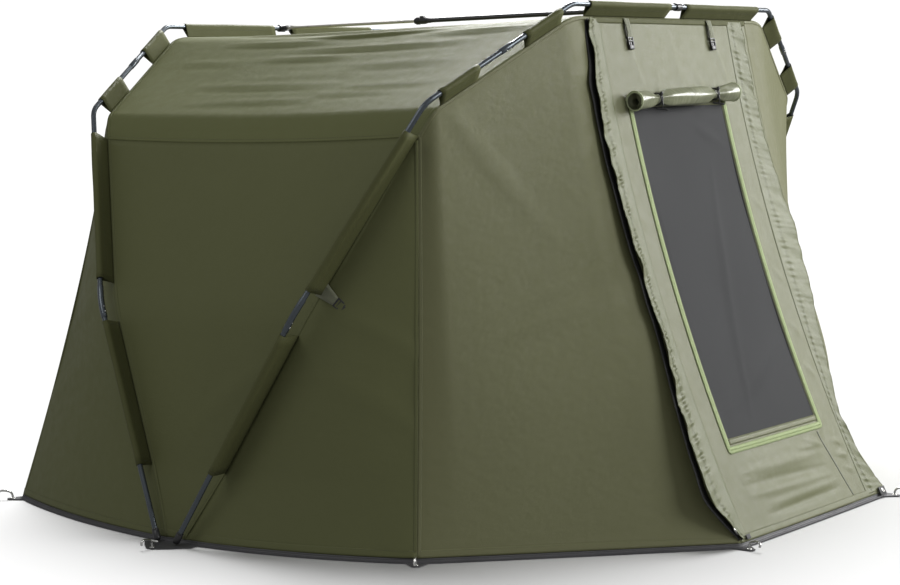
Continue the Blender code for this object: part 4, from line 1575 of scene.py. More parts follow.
def block(name: str, centre: np.ndarray, axes: np.ndarray, size: Colour, material: Material,
          edge: float = 0.0012) -> Piece:
    """A moulded block with rounded edges.

    Args:
        name: The piece's name.
        centre: Its middle.
        axes: Its three directions, as rows.
        size: Its measures along them.
        material: Its finish.
        edge: The radius of its edges.

    Returns:
        The block.
    """
    bm = bmesh.new()
    bmesh.ops.create_cube(bm, size=1.0, matrix=Matrix.Diagonal((*size, 1.0)))
    bmesh.ops.bevel(bm, geom=bm.edges[:], offset=edge, affect="EDGES", segments=3, profile=0.5, material=-1)
    place = Matrix([list(axis) for axis in axes]).transposed().to_4x4()
    place.translation = Vector(centre)
    bmesh.ops.transform(bm, matrix=place, verts=bm.verts)
    bmesh.ops.recalc_face_normals(bm, faces=bm.faces)
    return shown(name, mesh_of(bm, name, 50.0), material)


# The studio


@dataclass
class Studio:
    """Camera, pale floor and plain soft light."""

    camera_at: Colour = (-5.9754, -4.3493, 1.4)
    camera_turn: Colour = (83.9016, 0.0, -53.819)
    lens: float = 88.0
    floor_half: float = 60.0
    floor_z: float = -0.0015
    floor_albedo: float = 0.80
    sky: float = 0.35
    sky_seen: float = 1.05
    lamps: tuple[tuple[str, Colour, float, float, Colour], ...] = (
        ("key_lamp", (5.2, -4.6, 3.3), 500.0, 3.2, (0.0, 0.0, 0.6)),
        ("front_lamp", (1.5, -6.8, 3.6), 295.0, 3.2, (0.0, 0.0, 0.6)),
        ("roof_lamp", (4.4, 2.2, 5.4), 1000.0, 3.0, (0.0, 0.0, 1.4)),
        ("side_lamp", (-3.2, 0.3, 2.8), 20.0, 1.6, (-1.1, 0.0, 0.9)),
        ("floor_sun", (2.1, 1.56, 5.4), 3.6, 40.0, (0.0, 0.0, 0.0)),
    )

    def camera(self) -> None:
        """Places the camera at the photograph's view."""
        data = bpy.data.cameras.new("camera")
        data.lens = self.lens
        data.sensor_width = 36.0
        camera = bpy.data.objects.new("camera", data)
        camera.location = self.camera_at
        camera.rotation_euler = [math.radians(turn) for turn in self.camera_turn]
        bpy.context.scene.collection.objects.link(camera)
        bpy.context.scene.camera = camera

    def floor(self) -> Piece:
        """Makes the pale floor, which isn't part of the tent.

        Returns:
            The floor.
        """
        bm = bmesh.new()
        bmesh.ops.create_grid(bm, x_segments=1, y_segments=1, size=self.floor_half)
        bmesh.ops.translate(bm, verts=bm.verts, vec=(0.0, 0.0, self.floor_z))
        graph = Graph("floor_finish")
        graph.shader.inputs["Base Color"].default_value = (*(self.floor_albedo,) * 3, 1.0)
        floor = shown("studio_floor", mesh_of(bm, "studio_floor"), graph.settle(Roughness=1.0))
        floor.visible_diffuse = False
        floor.visible_glossy = False
        floor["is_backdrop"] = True
        return floor

    def backdrop(self) -> None:
        """Makes the surround: white to the camera, and softer as light on the tent."""
        world = bpy.data.worlds.new("studio_world")
        bpy.context.scene.world = world
        world.use_nodes = True
        tree = world.node_tree
        sky = tree.nodes["Background"]
        sky.inputs["Color"].default_value = (1.0, 1.0, 1.0, 1.0)
        path = tree.nodes.new("ShaderNodeLightPath")
        strength = tree.nodes.new("ShaderNodeMapRange")
        strength.inputs["To Min"].default_value = self.sky
        strength.inputs["To Max"].default_value = self.sky_seen
        tree.links.new(path.outputs["Is Camera Ray"], strength.inputs["Value"])
        tree.links.new(strength.outputs["Result"], sky.inputs["Strength"])

    def lamp(self, name: str, at: Colour, power: float, size: float, aim_at: Colour,
             lit: bpy.types.Collection) -> None:
        """Adds a soft lamp that lights one collection.

        Args:
            name: Its name.
            at: Where it stands.
            power: Watts of an area lamp, or the strength of the sun over the floor.
            size: Metres across of an area lamp, or the sun's angle in degrees.
            aim_at: The place that it looks at.
            lit: What it lights.
        """
        if name.endswith("sun"):
            data = bpy.data.lights.new(name, "SUN")
            data.angle = math.radians(size)
        else:
            data = bpy.data.lights.new(name, "AREA")
            data.size = size
        data.energy = power
        lamp = bpy.data.objects.new(name, data)
        lamp.location = at
        aim = Vector(aim_at) - lamp.location
        lamp.rotation_euler = aim.to_track_quat("-Z", "Y").to_euler()
        lamp.visible_camera = False
        bpy.context.scene.collection.objects.link(lamp)
        lamp.light_linking.receiver_collection = lit

    def light(self, floor: Piece) -> None:
        """Lights the tent from the right of the door, and the floor from high behind the tent.

        Args:
            floor: The studio's floor.
        """
        bpy.context.scene.view_settings.view_transform = "Standard"
        self.backdrop()
        tent = bpy.data.collections.new("lit_tent")
        ground = bpy.data.collections.new("lit_floor")
        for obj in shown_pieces():
            tent.objects.link(obj)
        ground.objects.link(floor)
        for lamp in self.lamps:
            self.lamp(*lamp, ground if lamp[0] == "floor_sun" else tent)


# Poles and the tension bar


@dataclass
class PoleSet:
    """One bow's tubes with their swaged joints, spring buttons and foot caps."""

    bow: Bow
    radius: float = 0.008
    ferrule_radius: float = 0.0095
    ferrule_length: float = 0.045
    knee_radius: float = 0.30
    shoulder_radius: float = 0.08
    start_z: float = 0.040
    cap_radius: float = 0.0105
    cap_bottom_z: float = 0.0090
    knee_joint: float = 0.935
    knee_swage: float = 0.078
    gap: float = 0.0003
    swage: float = 0.006
    steps: int = 14

    def build(self, finishes: Finishes) -> None:
        """Makes the tubes of both sides and the top piece.

        Args:
            finishes: The tent's finishes.
        """
        low, high, chamfer = Stretch.LEG_LOW, Stretch.LEG_HIGH, Stretch.CHAMFER
        corners = self.bow.corners
        foot = self.bow.at(low, self.start_z / corners[1][2])
        way, high_way, chamfer_way = (self.bow.way(one) for one in (low, high, chamfer))
        joint = self.bow.at(low, self.knee_joint)
        knee = bend(*corners[0:3], self.knee_radius, self.steps)
        shoulder = bend(*corners[1:4], self.shoulder_radius, self.steps)
        corner = bend(*corners[2:5], self.shoulder_radius, self.steps)
        thick, thin = self.ferrule_radius, self.radius
        swage_end = self.bow.at(high, self.knee_swage)
        middle = self.bow.at(chamfer, 0.5)
        lip = self.gap * 4
        lower = [foot, joint - way * self.gap / 2]
        upper = [joint + way * self.gap / 2, joint + way * lip, *knee, swage_end]
        upper_radii = [thick - 0.0006] + [thick] * (len(upper) - 1) + [thin]
        upper += [swage_end + high_way * self.swage, *shoulder, middle - chamfer_way * self.gap / 2]
        upper_radii += [thin] * (len(shoulder) + 1)
        end = middle + chamfer_way * self.ferrule_length
        half = [middle + chamfer_way * self.gap / 2, middle + chamfer_way * lip, end]
        half += [end + chamfer_way * self.swage, *corner]
        half_radii = [thick - 0.0006, thick, thick] + [thin] * (len(corner) + 1)
        top = half + [point * MIRROR for point in reversed(half)]
        name = self.bow.name + "_pole_"
        body = tube(name + "top_tube", top, half_radii + half_radii[::-1], finishes.pole)
        hand_over(body, "pole_tube", name + "top")
        cap_foot = self.bow.at(low, self.cap_bottom_z / corners[1][2])
        cap_top = foot - way * self.gap
        cap = [lerp(cap_foot, cap_top, t) for t in (0.0, 0.06, 0.16, 0.80, 0.84, 0.95, 1.0)]
        cap_radii = [self.cap_radius * k for k in (0.72, 0.90, 1.0, 1.0, 0.90, 1.0, 0.93)]
        for side in Side:
            label = side.value
            parts = (
                (name + "lower_" + label, lower, thin, finishes.pole, "pole_tube"),
                (name + "upper_" + label, upper, upper_radii, finishes.pole, "pole_tube"),
                (self.bow.name + "_foot_cap_" + label, cap, cap_radii, finishes.plastic, "black_fitting"),
            )
            for node, points, radii, material, slot in parts:
                placed = [side.place(point) for point in points]
                hand_over(tube(node + "_tube", placed, radii, material), slot, node)
            self.buttons(side, [(joint, way), (middle, chamfer_way)], finishes)

    def buttons(self, side: Side, joints: list, finishes: Finishes) -> None:
        """Adds the spring button and the punched dimples that lock each joint.

        Args:
            side: The side of the tent.
            joints: Each joint's place, and the direction of its tube.
            finishes: The tent's finishes.
        """
        dots = []
        for joint, way in joints:
            for run, size in ((0.018, 0.0026), (0.034, 0.0018)):
                seat = joint + way * run
                for turn in (self.bow.outward, -self.bow.outward):
                    centre = side.place(seat + turn * (self.ferrule_radius - 0.0004))
                    bm = bmesh.new()
                    place = Matrix.Translation(Vector(centre)) @ Matrix.Scale(size, 4)
                    bmesh.ops.create_uvsphere(bm, u_segments=16, v_segments=8, radius=1.0, matrix=place)
                    dots.append(shown("dot", mesh_of(bm, "dot"), finishes.steel))
        name = f"{self.bow.name}_joint_buttons_{side.value}"
        hand_over(merged(name, dots, finishes.steel), "peg_steel")


@dataclass
class TensionBar:
    """The bar over the roof: thin tube, clamp and thicker tube between two collars."""

    inner_radius: float = 0.0050
    outer_radius: float = 0.0075
    clamp_radius: float = 0.0120
    clamp_length: float = 0.055
    clamp_at: float = 0.385
    boss_length: float = 0.030
    gap: float = 0.0003

    def build(self, finishes: Finishes, nodes: dict[str, Piece]) -> None:
        """Makes the bar, and dresses the collars.

        Args:
            finishes: The tent's finishes.
            nodes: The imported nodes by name.
        """
        rear, front = REAR.at(Stretch.TOP, 1.0), FRONT.at(Stretch.TOP, 1.0)
        way = unit(front - rear)
        start = lerp(rear, front, self.clamp_at) - way * self.clamp_length / 2
        end = start + way * self.clamp_length
        inner = [rear + way * (self.boss_length + self.gap), start - way * self.gap]
        outer = [end + way * self.gap, front - way * (self.boss_length + self.gap)]
        hand_over(tube("tension_bar_thin_tube", inner, self.inner_radius, finishes.bar), "bar_tube",
                  "tension_bar_inner")
        lips = [outer[0], outer[0] + way * 0.002, outer[0] + way * 0.010, outer[0] + way * 0.012]
        radii = [self.outer_radius * k for k in (1.05, 1.15, 1.15, 1.0)]
        hand_over(tube("tension_bar_thick_tube", lips + [outer[1]], radii + [self.outer_radius],
                       finishes.plastic), "black_fitting", "tension_bar_outer")
        marks = ((0.0, 0.62), (0.02, 0.78), (0.10, 0.80), (0.13, 1.0), (0.36, 1.0), (0.40, 0.78),
                 (0.47, 0.78), (0.50, 0.95), (0.80, 0.95), (0.84, 0.75), (0.97, 0.78), (1.0, 0.66))
        body = [start + way * (self.clamp_length * t) for t, _ in marks]
        parts = [tube("clamp_body", body, [self.clamp_radius * k for _, k in marks], finishes.plastic)]
        up = unit(np.cross(way, vec(1.0, 0.0, 0.0)))
        up = up if up[2] > 0 else -up
        axes = np.array((way, np.cross(up, way), up))
        parts.append(block("clamp_ear", start + way * 0.030 + up * 0.0125, axes, (0.016, 0.010, 0.007),
                           finishes.plastic))
        for k in range(4):
            rib = [start + way * (0.009 + 0.0030 * k)] * 2
            rib[1] = rib[0] + way * 0.0012
            parts.append(tube("clamp_rib", rib, self.clamp_radius * 1.04, finishes.plastic))
        hand_over(merged("tension_bar_lock", parts, finishes.plastic), "black_fitting", "tension_bar_clamp")
        for label in ("rear", "front"):
            nodes[label + "_bar_collar"].material_slots[0].material = finishes.plastic


# Sleeves that hold the shell to the bows


@dataclass
class Sleeves:
    """The pole sleeves of one bow, each a folded band of cloth sewn into a seam."""

    bow: Bow
    radius: float = 0.0100
    ply_steps: int = 7
    round_steps: int = 14

    def path(self, station: Station) -> np.ndarray:
        """A sleeve's way from the seam up one side of the pole, round it and back down.

        Args:
            station: The place along the bow.

        Returns:
            The points of one column.
        """
        roofward = -self.bow.outward
        up = unit(station.pole - station.seam)
        reach = float(np.linalg.norm(station.pole - station.seam))
        touch = math.acos(self.radius / reach)
        turns = np.linspace(touch, math.tau - touch, self.round_steps + 1)
        ring = [station.pole + self.radius * (-up * math.cos(a) + roofward * math.sin(a)) for a in turns]
        foot = station.seam
        rise = [lerp(foot, ring[0], k / self.ply_steps) for k in range(self.ply_steps)]
        fall = [lerp(ring[-1], foot, (k + 1) / self.ply_steps) for k in range(self.ply_steps)]
        return np.array(rise + ring + fall)

    def build(self, side: Side, finishes: Finishes) -> None:
        """Makes the sleeves of one side, each with its stitches.

        Args:
            side: The side of the tent.
            finishes: The tent's finishes.
        """
        marks = [*PLAN.spans(PLAN.leg_marks(self.bow)), *PLAN.spans(PLAN.arch_marks(self.bow))]
        for number, span in enumerate(marks):
            grid = side.place(np.array([self.path(one) for one in span.stations]))
            middle = grid.mean(axis=1, keepdims=True)
            name = f"{self.bow.name}_{span.label}_sleeve_{side.value}"
            seed = 100 + 10 * number + (self.bow is FRONT)
            cloth = Cloth(name, grid, grid - middle, (Puckers(seed, True, 0.0, 0.5, 0.0009, 14.0),),
                          0.0009, pin=0.004, free="left right")
            on_leg = span.label.endswith("leg")
            slot = "wall_cloth" if on_leg else "roof_cloth"
            obj = hand_over(cloth.build(finishes.sleeve), slot)
            lines = []
            for column, inset in ((0, 0.009), (-1, 0.009)):
                lines.append(cloth.line(s=column % len(grid), inset=inset))
            for row in (self.ply_steps - 2, len(grid[0]) - self.ply_steps + 1):
                lines.append(cloth.line(t=row))
            seam = Stitching().build(name + "_stitches", lines, finishes.thread)
            hand_over(seam, slot)
            cloth.area


# Sewn panels


@dataclass
class Panel:
    """One cut of the shell: its cloth, the seam strips and hem on it, and their stitches."""

    cloth: Cloth
    material: Material
    slot: str
    nodes: tuple[str, ...]
    hem: bool = True
    strips: tuple[str, ...] = ()
    hem_width: float = 0.022
    strip_width: float = 0.010
    trim: Material | None = None
    extras: tuple[Piece, ...] = ()

    def edge(self, edge: str, inset: float) -> np.ndarray:
        """A line beside one edge.

        Args:
            edge: Which edge: left, right, low or high.
            inset: How far in from it the line runs.

        Returns:
            The points and the normals, stacked.
        """
        if edge == "left":
            return self.cloth.line(s=0, inset=inset)
        if edge == "right":
            return self.cloth.line(s=len(self.cloth.grid) - 1, inset=inset)
        if edge == "low":
            return self.cloth.line(t=0, inset=inset)
        return self.cloth.line(t=self.cloth.grid.shape[1] - 1, inset=inset)

    def build(self, finishes: Finishes) -> None:
        """Args:
            finishes: The tent's finishes.
        """
        name = self.cloth.name
        obj = hand_over(self.cloth.build(self.material), self.slot, *self.nodes)
        pieces = list(self.extras)
        lines = []
        if self.hem:
            strip = ribbon(name + "_hem", self.edge("low", self.hem_width / 2), self.hem_width, 0.0009)
            pieces.append(hand_over(strip.build(self.material), self.slot))
            lines += [self.edge("low", self.hem_width - 0.003), self.edge("low", 0.004)]
        for edge in self.strips:
            line = self.edge(edge, self.strip_width / 2 + 0.001)
            strip = ribbon(f"{name}_{edge}_seam", line, self.strip_width, 0.0009)
            pieces.append(hand_over(strip.build(self.trim or self.material), self.slot))
            lines += [self.edge(edge, 0.003), self.edge(edge, self.strip_width - 0.001)]
        if lines:
            lines = [raised(*line, 0.0009) for line in lines]
            stitches = Stitching().build(name + "_stitches", lines, finishes.thread)
            pieces.append(hand_over(stitches, self.slot))
        self.cloth.area


@dataclass
class Shell:
    """The roof, the walls and the corner panels."""

    roof_rows: int = 84
    roof_width: float = 2.438
    wall_columns: int = 84
    leg_columns: int = 44
    panel_rows: int = 84

    def roof(self, finishes: Finishes) -> None:
        """Makes the roof, with the soft drags that run between the bows.

        Args:
            finishes: The tent's finishes.
        """
        folds = []
        for s, start, end, width, height in (
            (0.165, 0.30, 0.80, 0.013, 0.0036), (0.205, 0.75, 1.15, 0.012, 0.0026),
            (0.265, 0.28, 0.84, 0.014, 0.0044), (0.250, 0.90, 1.34, 0.012, 0.0042),
            (0.320, 0.45, 0.95, 0.014, 0.0030), (0.385, 0.86, 1.32, 0.013, 0.0046),
            (0.440, 0.42, 0.82, 0.013, 0.0050), (0.425, 0.10, 0.40, 0.014, 0.0030),
            (0.500, 0.58, 1.30, 0.012, 0.0056), (0.550, 0.25, 0.72, 0.013, 0.0052),
            (0.590, 0.62, 1.10, 0.013, 0.0050), (0.565, 1.05, 1.45, 0.012, 0.0046),
            (0.640, 0.30, 1.20, 0.016, 0.0050), (0.720, 0.70, 1.40, 0.020, 0.0040),
            (0.860, 0.40, 1.30, 0.026, 0.0035),
        ):
            for start_s, end_s in ((s, s + 0.012), (self.roof_width - s, self.roof_width - s - 0.014)):
                back = math.copysign(0.020, start_s - self.roof_width / 2)
                folds.append(Fold((start_s, start), (end_s, end), width, height))
                folds.append(Fold((start_s + back, start + 0.03), (end_s + back, end - 0.05), width,
                                  -0.8 * height))
        relief = (*folds, Swell(11, 0.0022, 0.8, 3.5, 0.5), Puckers(12, False, 0.0, 0.035, 0.0012))
        cloth = Cloth("roof_cloth", PLAN.roof(self.roof_rows), vec(0.0, 0.0, 1.0), relief, pin=0.03)
        Panel(cloth, finishes.roof, "roof_cloth", ("roof",), False,
              ("left", "right", "low", "high")).build(finishes)

    def walls(self, side: Side, finishes: Finishes) -> None:
        """Makes the side wall and the two panels beside its legs.

        Args:
            side: The side of the tent.
            finishes: The tent's finishes.
        """
        label = side.value
        out = side.place(vec(-1.0, 0.0, 0.0))
        relief = (
            Swell(21, 0.0030, 0.6, 2.2), Fold((0.30, 0.30), (0.62, 0.60), 0.035, 0.0035),
            Fold((1.00, 0.25), (0.62, 0.85), 0.03, 0.003), Puckers(22, False, 1.16, 0.03, 0.0010),
        )
        cloth = Cloth("side_wall_cloth_" + label, side.place(PLAN.side_wall(self.wall_columns)), out,
                      relief, pin=0.03)
        Panel(cloth, finishes.wall, "wall_cloth", ("side_wall_" + label,), True,
              ("left", "right")).build(finishes)
        for bow, node in ((REAR, "rear_side_wall_"), (FRONT, "front_side_panel_")):
            relief = (
                Swell(31 + bow.facing, 0.0028, 0.8, 2.6), Fold((0.10, 0.55), (0.55, 0.25), 0.03, 0.0035),
                Fold((0.10, 0.72), (0.50, 0.50), 0.026, 0.003), Puckers(33, True, 0.0, 0.05, 0.0012),
            )
            grid = side.place(PLAN.leg_wall(bow, self.leg_columns))
            cloth = Cloth(f"{bow.name}_leg_panel_{label}", grid, out, relief, pin=0.02)
            Panel(cloth, finishes.wall, "wall_cloth", (node + label,), True, ("right",)).build(finishes)

    def front(self, side: Side, finishes: Finishes) -> None:
        """Makes the panel between the front corner and the door.

        Args:
            side: The side of the tent.
            finishes: The tent's finishes.
        """
        grid = side.place(PLAN.corner_panel(FRONT, self.panel_rows, side is Side.RIGHT))
        relief = (
            Swell(41, 0.0035, 0.6, 2.0), Fold((0.30, 0.62), (0.62, 0.74), 0.028, 0.0035),
            Fold((0.34, 0.70), (0.58, 0.80), 0.022, 0.0030), Fold((0.10, 1.30), (0.45, 0.95), 0.04, 0.004),
            Puckers(42, True, 0.0, 0.03, 0.0009),
        )
        out = side.place(vec(-0.6, -0.75, 0.3))
        cloth = Cloth("front_panel_cloth_" + side.value, grid, out, relief, pin=0.03)
        Panel(cloth, finishes.front, "wall_cloth", ("front_panel_" + side.value,), True,
              ("left", "high")).build(finishes)

    def rear(self, finishes: Finishes) -> None:
        """Makes the three facets of the back.

        Args:
            finishes: The tent's finishes.
        """
        for side in Side:
            grid = side.place(PLAN.corner_panel(REAR, self.panel_rows))
            relief = (Swell(51, 0.0035, 0.6, 2.0), Fold((0.30, 0.60), (0.60, 0.85), 0.03, 0.004))
            cloth = Cloth("rear_corner_cloth_" + side.value, grid, side.place(vec(-0.6, 0.75, 0.3)),
                          relief, pin=0.03)
            nodes = ("rear_wall",) if side is Side.LEFT else ()
            Panel(cloth, finishes.wall, "wall_cloth", nodes, True, ("left", "high")).build(finishes)
        relief = (Swell(53, 0.0040, 0.6, 2.2), Fold((0.2, 0.5), (0.7, 0.8), 0.035, 0.004))
        cloth = Cloth("rear_middle_cloth", PLAN.rear_middle_panel(self.panel_rows), vec(0.0, 1.0, 0.3),
                      relief, pin=0.03)
        Panel(cloth, finishes.wall, "wall_cloth", ("rear_wall",), True,
              ("left", "right", "high")).build(finishes)


# Door, window and flaps


@dataclass
class Door:
    """The door with its window, zip, rolled cover and storm flaps."""

    window_left: float = -0.322
    window_right: float = 0.213
    window_top: float = 0.285
    window_bottom: float = 1.311
    zip_margins: tuple[float, float] = (0.016, 0.034)
    zip_width: float = 0.022
    zip_start: float = 0.272
    roll_radius: float = 0.0295
    roll_neck: float = 0.015
    roll_ends: tuple[float, float] = (-0.355, 0.246)
    roll_downs: tuple[float, float] = (0.272, 0.252)
    roll_ties: tuple[float, float] = (-0.227, 0.122)
    roll_facets: int = 5
    flap_seams: tuple[float, float] = (-0.425, 0.340)
    left_edge: tuple[tuple[float, float], ...] = (
        (0.0, -0.504), (0.15, -0.503), (0.21, -0.524), (0.25, -0.518), (0.31, -0.524), (0.46, -0.523),
        (0.52, -0.517), (0.70, -0.512), (0.75, -0.508), (0.795, -0.500), (0.89, -0.504), (0.93, -0.498),
        (1.02, -0.502), (1.20, -0.526), (1.33, -0.541), (1.38, -0.541), (1.43, -0.549), (1.466, -0.545),
        (1.51, -0.514), (1.55, -0.486), (1.592, -0.452),
    )
    right_edge: tuple[tuple[float, float], ...] = (
        (0.0, 0.430), (0.40, 0.440), (0.578, 0.465), (0.68, 0.487), (0.78, 0.487), (0.85, 0.478),
        (0.92, 0.470), (0.985, 0.456), (1.05, 0.437), (1.12, 0.424), (1.19, 0.408), (1.27, 0.386),
        (1.335, 0.366), (1.412, 0.388), (1.458, 0.388), (1.538, 0.429), (1.592, 0.458),
    )
    zip_shows: tuple[tuple[float, float], ...] = (
        (0.0, 0.0), (0.05, 0.009), (0.20, 0.016), (0.33, 0.011), (0.60, 0.010), (1.30, 0.010),
        (1.45, 0.014), (1.54, 0.014), (1.592, 0.006),
    )

    def calm(self, s: np.ndarray, t: np.ndarray) -> np.ndarray:
        """How loose the cloth is at each place, which lies flat under the zip and the flaps.

        Args:
            s: Metres across from the door's left seam.
            t: Metres up from its hem.

        Returns:
            A share from 0 to 1.
        """
        x = s - PLAN.door_half
        down = PLAN.door_drop - t
        aside = np.maximum(self.window_left - x, x - self.window_right)
        above = np.maximum(self.window_top - down, down - self.window_bottom)
        away = np.hypot(np.maximum(aside, 0.0), np.maximum(above, 0.0))
        near = smooth(away, self.zip_margins[1], self.zip_margins[1] + 0.030)
        return near * smooth(x - self.flap_seams[0], 0.0, 0.03) * smooth(self.flap_seams[1] - x, 0.0, 0.03)

    def panel(self, finishes: Finishes) -> None:
        """Makes the door's cloth with the window cut through it.

        Args:
            finishes: The tent's finishes.
        """
        marks = ((-PLAN.door_half, 16), (self.window_left, 58), (self.window_right, 32))
        ends = (self.window_left, self.window_right, PLAN.door_half)
        xs = [np.linspace(a, b, n, endpoint=False) for (a, n), b in zip(marks, ends)]
        xs = np.concatenate([*xs, [PLAN.door_half]])
        low, high = PLAN.height_at(self.window_bottom), PLAN.height_at(self.window_top)
        levels = ((0.0, low, 44), (low, high, 96), (high, 1.0, 30))
        heights = [np.linspace(a, b, n, endpoint=False) for a, b, n in levels]
        heights = np.concatenate([*heights, [1.0]])
        across, up = np.meshgrid(xs, heights, indexing="ij")
        grid = PLAN.door(across, up)
        grid[..., 1] += PLAN.drawn_in(up) * smooth(across, 0.34, PLAN.door_half)
        folds = []
        for start, end, width, height in (
            ((0.16, 0.190), (0.60, 0.182), 0.017, 0.0040), ((0.17, 0.118), (0.62, 0.108), 0.015, 0.0042),
            ((0.15, 0.152), (0.62, 0.138), 0.013, -0.0040), ((0.22, 0.052), (0.66, 0.060), 0.010, -0.0048),
            ((0.24, 0.078), (0.66, 0.084), 0.012, 0.0030), ((0.50, 0.215), (0.62, 0.205), 0.008, 0.0030),
            ((0.56, 0.235), (0.66, 0.205), 0.010, 0.0040), ((0.74, 0.160), (0.84, 0.140), 0.010, 0.0050),
            ((0.74, 0.205), (0.82, 0.185), 0.009, 0.0040), ((0.76, 0.110), (0.84, 0.085), 0.010, 0.0045),
            ((0.16, 1.560), (0.22, 1.400), 0.016, 0.0026), ((0.70, 1.560), (0.76, 1.380), 0.018, 0.0030),
            ((0.32, 1.420), (0.30, 1.360), 0.014, 0.0024), ((0.56, 1.420), (0.60, 1.350), 0.014, 0.0030),
            ((0.66, 1.400), (0.64, 1.340), 0.012, 0.0030), ((0.44, 1.500), (0.46, 1.360), 0.030, 0.0020),
            ((0.74, 0.600), (0.82, 0.540), 0.012, 0.0032), ((0.74, 0.460), (0.82, 0.400), 0.012, 0.0036),
            ((0.74, 0.780), (0.82, 0.730), 0.012, 0.0032), ((0.74, 1.020), (0.82, 0.960), 0.012, 0.0030),
        ):
            folds.append(Fold(start, end, width, height))
        relief = (*folds, Swell(61, 0.0020, 0.8, 3.0), Puckers(63, False, 0.20, 0.04, 0.0010, 12.0))
        cloth = Cloth("door_cloth", grid, DOOR_OUT, relief, pin=0.012,
                      hole=(16, 74, 44, 140), calm=self.calm)
        lines = []
        for foot, head in (((-0.312, 1.550), (-0.334, 1.420)), ((0.278, 1.588), (0.205, 1.350))):
            xs = np.linspace(foot[0], head[0], 40)
            downs = np.linspace(foot[1], head[1], 40)
            lines.append(cloth.trace(xs + PLAN.door_half, PLAN.door_drop - downs))
        stitches = Stitching().build("door_dart_stitches", lines, finishes.thread)
        seam = ribbon("door_dart_seam", lines[1], 0.006, 0.0008).build(finishes.thread)
        extras = (hand_over(stitches, "door_cloth"), hand_over(seam, "door_cloth"))
        Panel(cloth, finishes.door, "door_cloth", ("door_panel",), True, ("high",), strip_width=0.018,
              trim=finishes.sleeve, extras=extras).build(finishes)

    def window(self, finishes: Finishes) -> None:
        """Makes the net behind the opening, its binding, and the zip round it.

        Args:
            finishes: The tent's finishes.
        """
        lap = 0.014
        xs = np.linspace(self.window_left - lap, self.window_right + lap, 60)
        downs = np.linspace(self.window_bottom + lap, self.window_top - lap, 100)
        grid = PLAN.over_door(*np.meshgrid(xs, PLAN.height_at(downs), indexing="ij"), -0.0016)
        relief = (Swell(71, 0.0022, 0.8, 2.6), Fold((0.12, 0.10), (0.48, 0.26), 0.030, 0.0045),
                  Fold((0.40, 0.80), (0.20, 0.10), 0.022, 0.0040),
                  Fold((0.36, 0.98), (0.50, 0.92), 0.02, 0.003))
        net = Cloth("window_net", grid, DOOR_OUT, relief, 0.0006, pin=0.03)
        obj = hand_over(net.build(finishes.net), "mesh", "window_mesh")
        net.area
        tape = ribbon("window_zip_tape", self.round_line(0.0), self.zip_width, 0.0018, 0.0022)
        tape_piece = hand_over(tape.build(finishes.zip), "zip_tape", "window_zip")
        teeth = Stitching(0.0030, 0.0026, 0.0052, 0.0018, 0.0044)
        coil = teeth.build("window_zip_coil", [self.round_line(0.0)], finishes.teeth)
        hand_over(coil, "zip_tape")
        lines = [self.round_line(k * (self.zip_width / 2 - 0.0015)) for k in (-1, 1)]
        lines = [raised(*line, 0.0024) for line in lines]
        seam = hand_over(Stitching().build("window_zip_stitches", lines, finishes.zip), "zip_tape")
        xs = np.linspace(self.window_left - 0.004, self.window_right + 0.004, 50)
        lines = []
        for below, lift in ((0.010, 0.0), (0.004, 0.0022), (0.016, 0.0022)):
            height = PLAN.height_at(self.window_bottom + below)
            points = PLAN.over_door(xs, height, lift)
            lines.append(np.stack([points, unit(PLAN.over_door(xs, height, lift + 0.01) - points)]))
        binding = ribbon("window_binding", lines[0], 0.018, 0.0012, 0.0008)
        frame = hand_over(binding.build(finishes.door), "door_cloth")
        edge = Stitching().build("window_edge_stitches", lines[1:], finishes.door)
        hand_over(edge, "door_cloth")
        tape.area

    def round_line(self, outside: float) -> np.ndarray:
        """A line on the cloth round three sides of the window.

        Args:
            outside: How far outside the zip's middle it runs.

        Returns:
            The points and the normals, stacked.
        """
        aside, below = (margin + outside for margin in self.zip_margins)
        left, right = self.window_left - aside, self.window_right + aside
        foot, start = self.window_bottom + below, self.zip_start
        round_off = 0.005
        marks = [(left, start), (left, foot - round_off), (left + round_off * 0.3, foot - round_off * 0.3),
                 (left + round_off, foot), (right - round_off, foot),
                 (right - round_off * 0.3, foot - round_off * 0.3), (right, foot - round_off), (right, start)]
        path = np.concatenate([
            np.linspace(a, b, max(3, int(math.dist(a, b) / 0.012)), endpoint=False)
            for a, b in zip(marks, marks[1:])
        ] + [np.array(marks[-1:])])
        height = PLAN.height_at(path[:, 1])
        points = PLAN.over_door(path[:, 0], height)
        return np.stack([points, unit(PLAN.over_door(path[:, 0], height, 0.01) - points)])

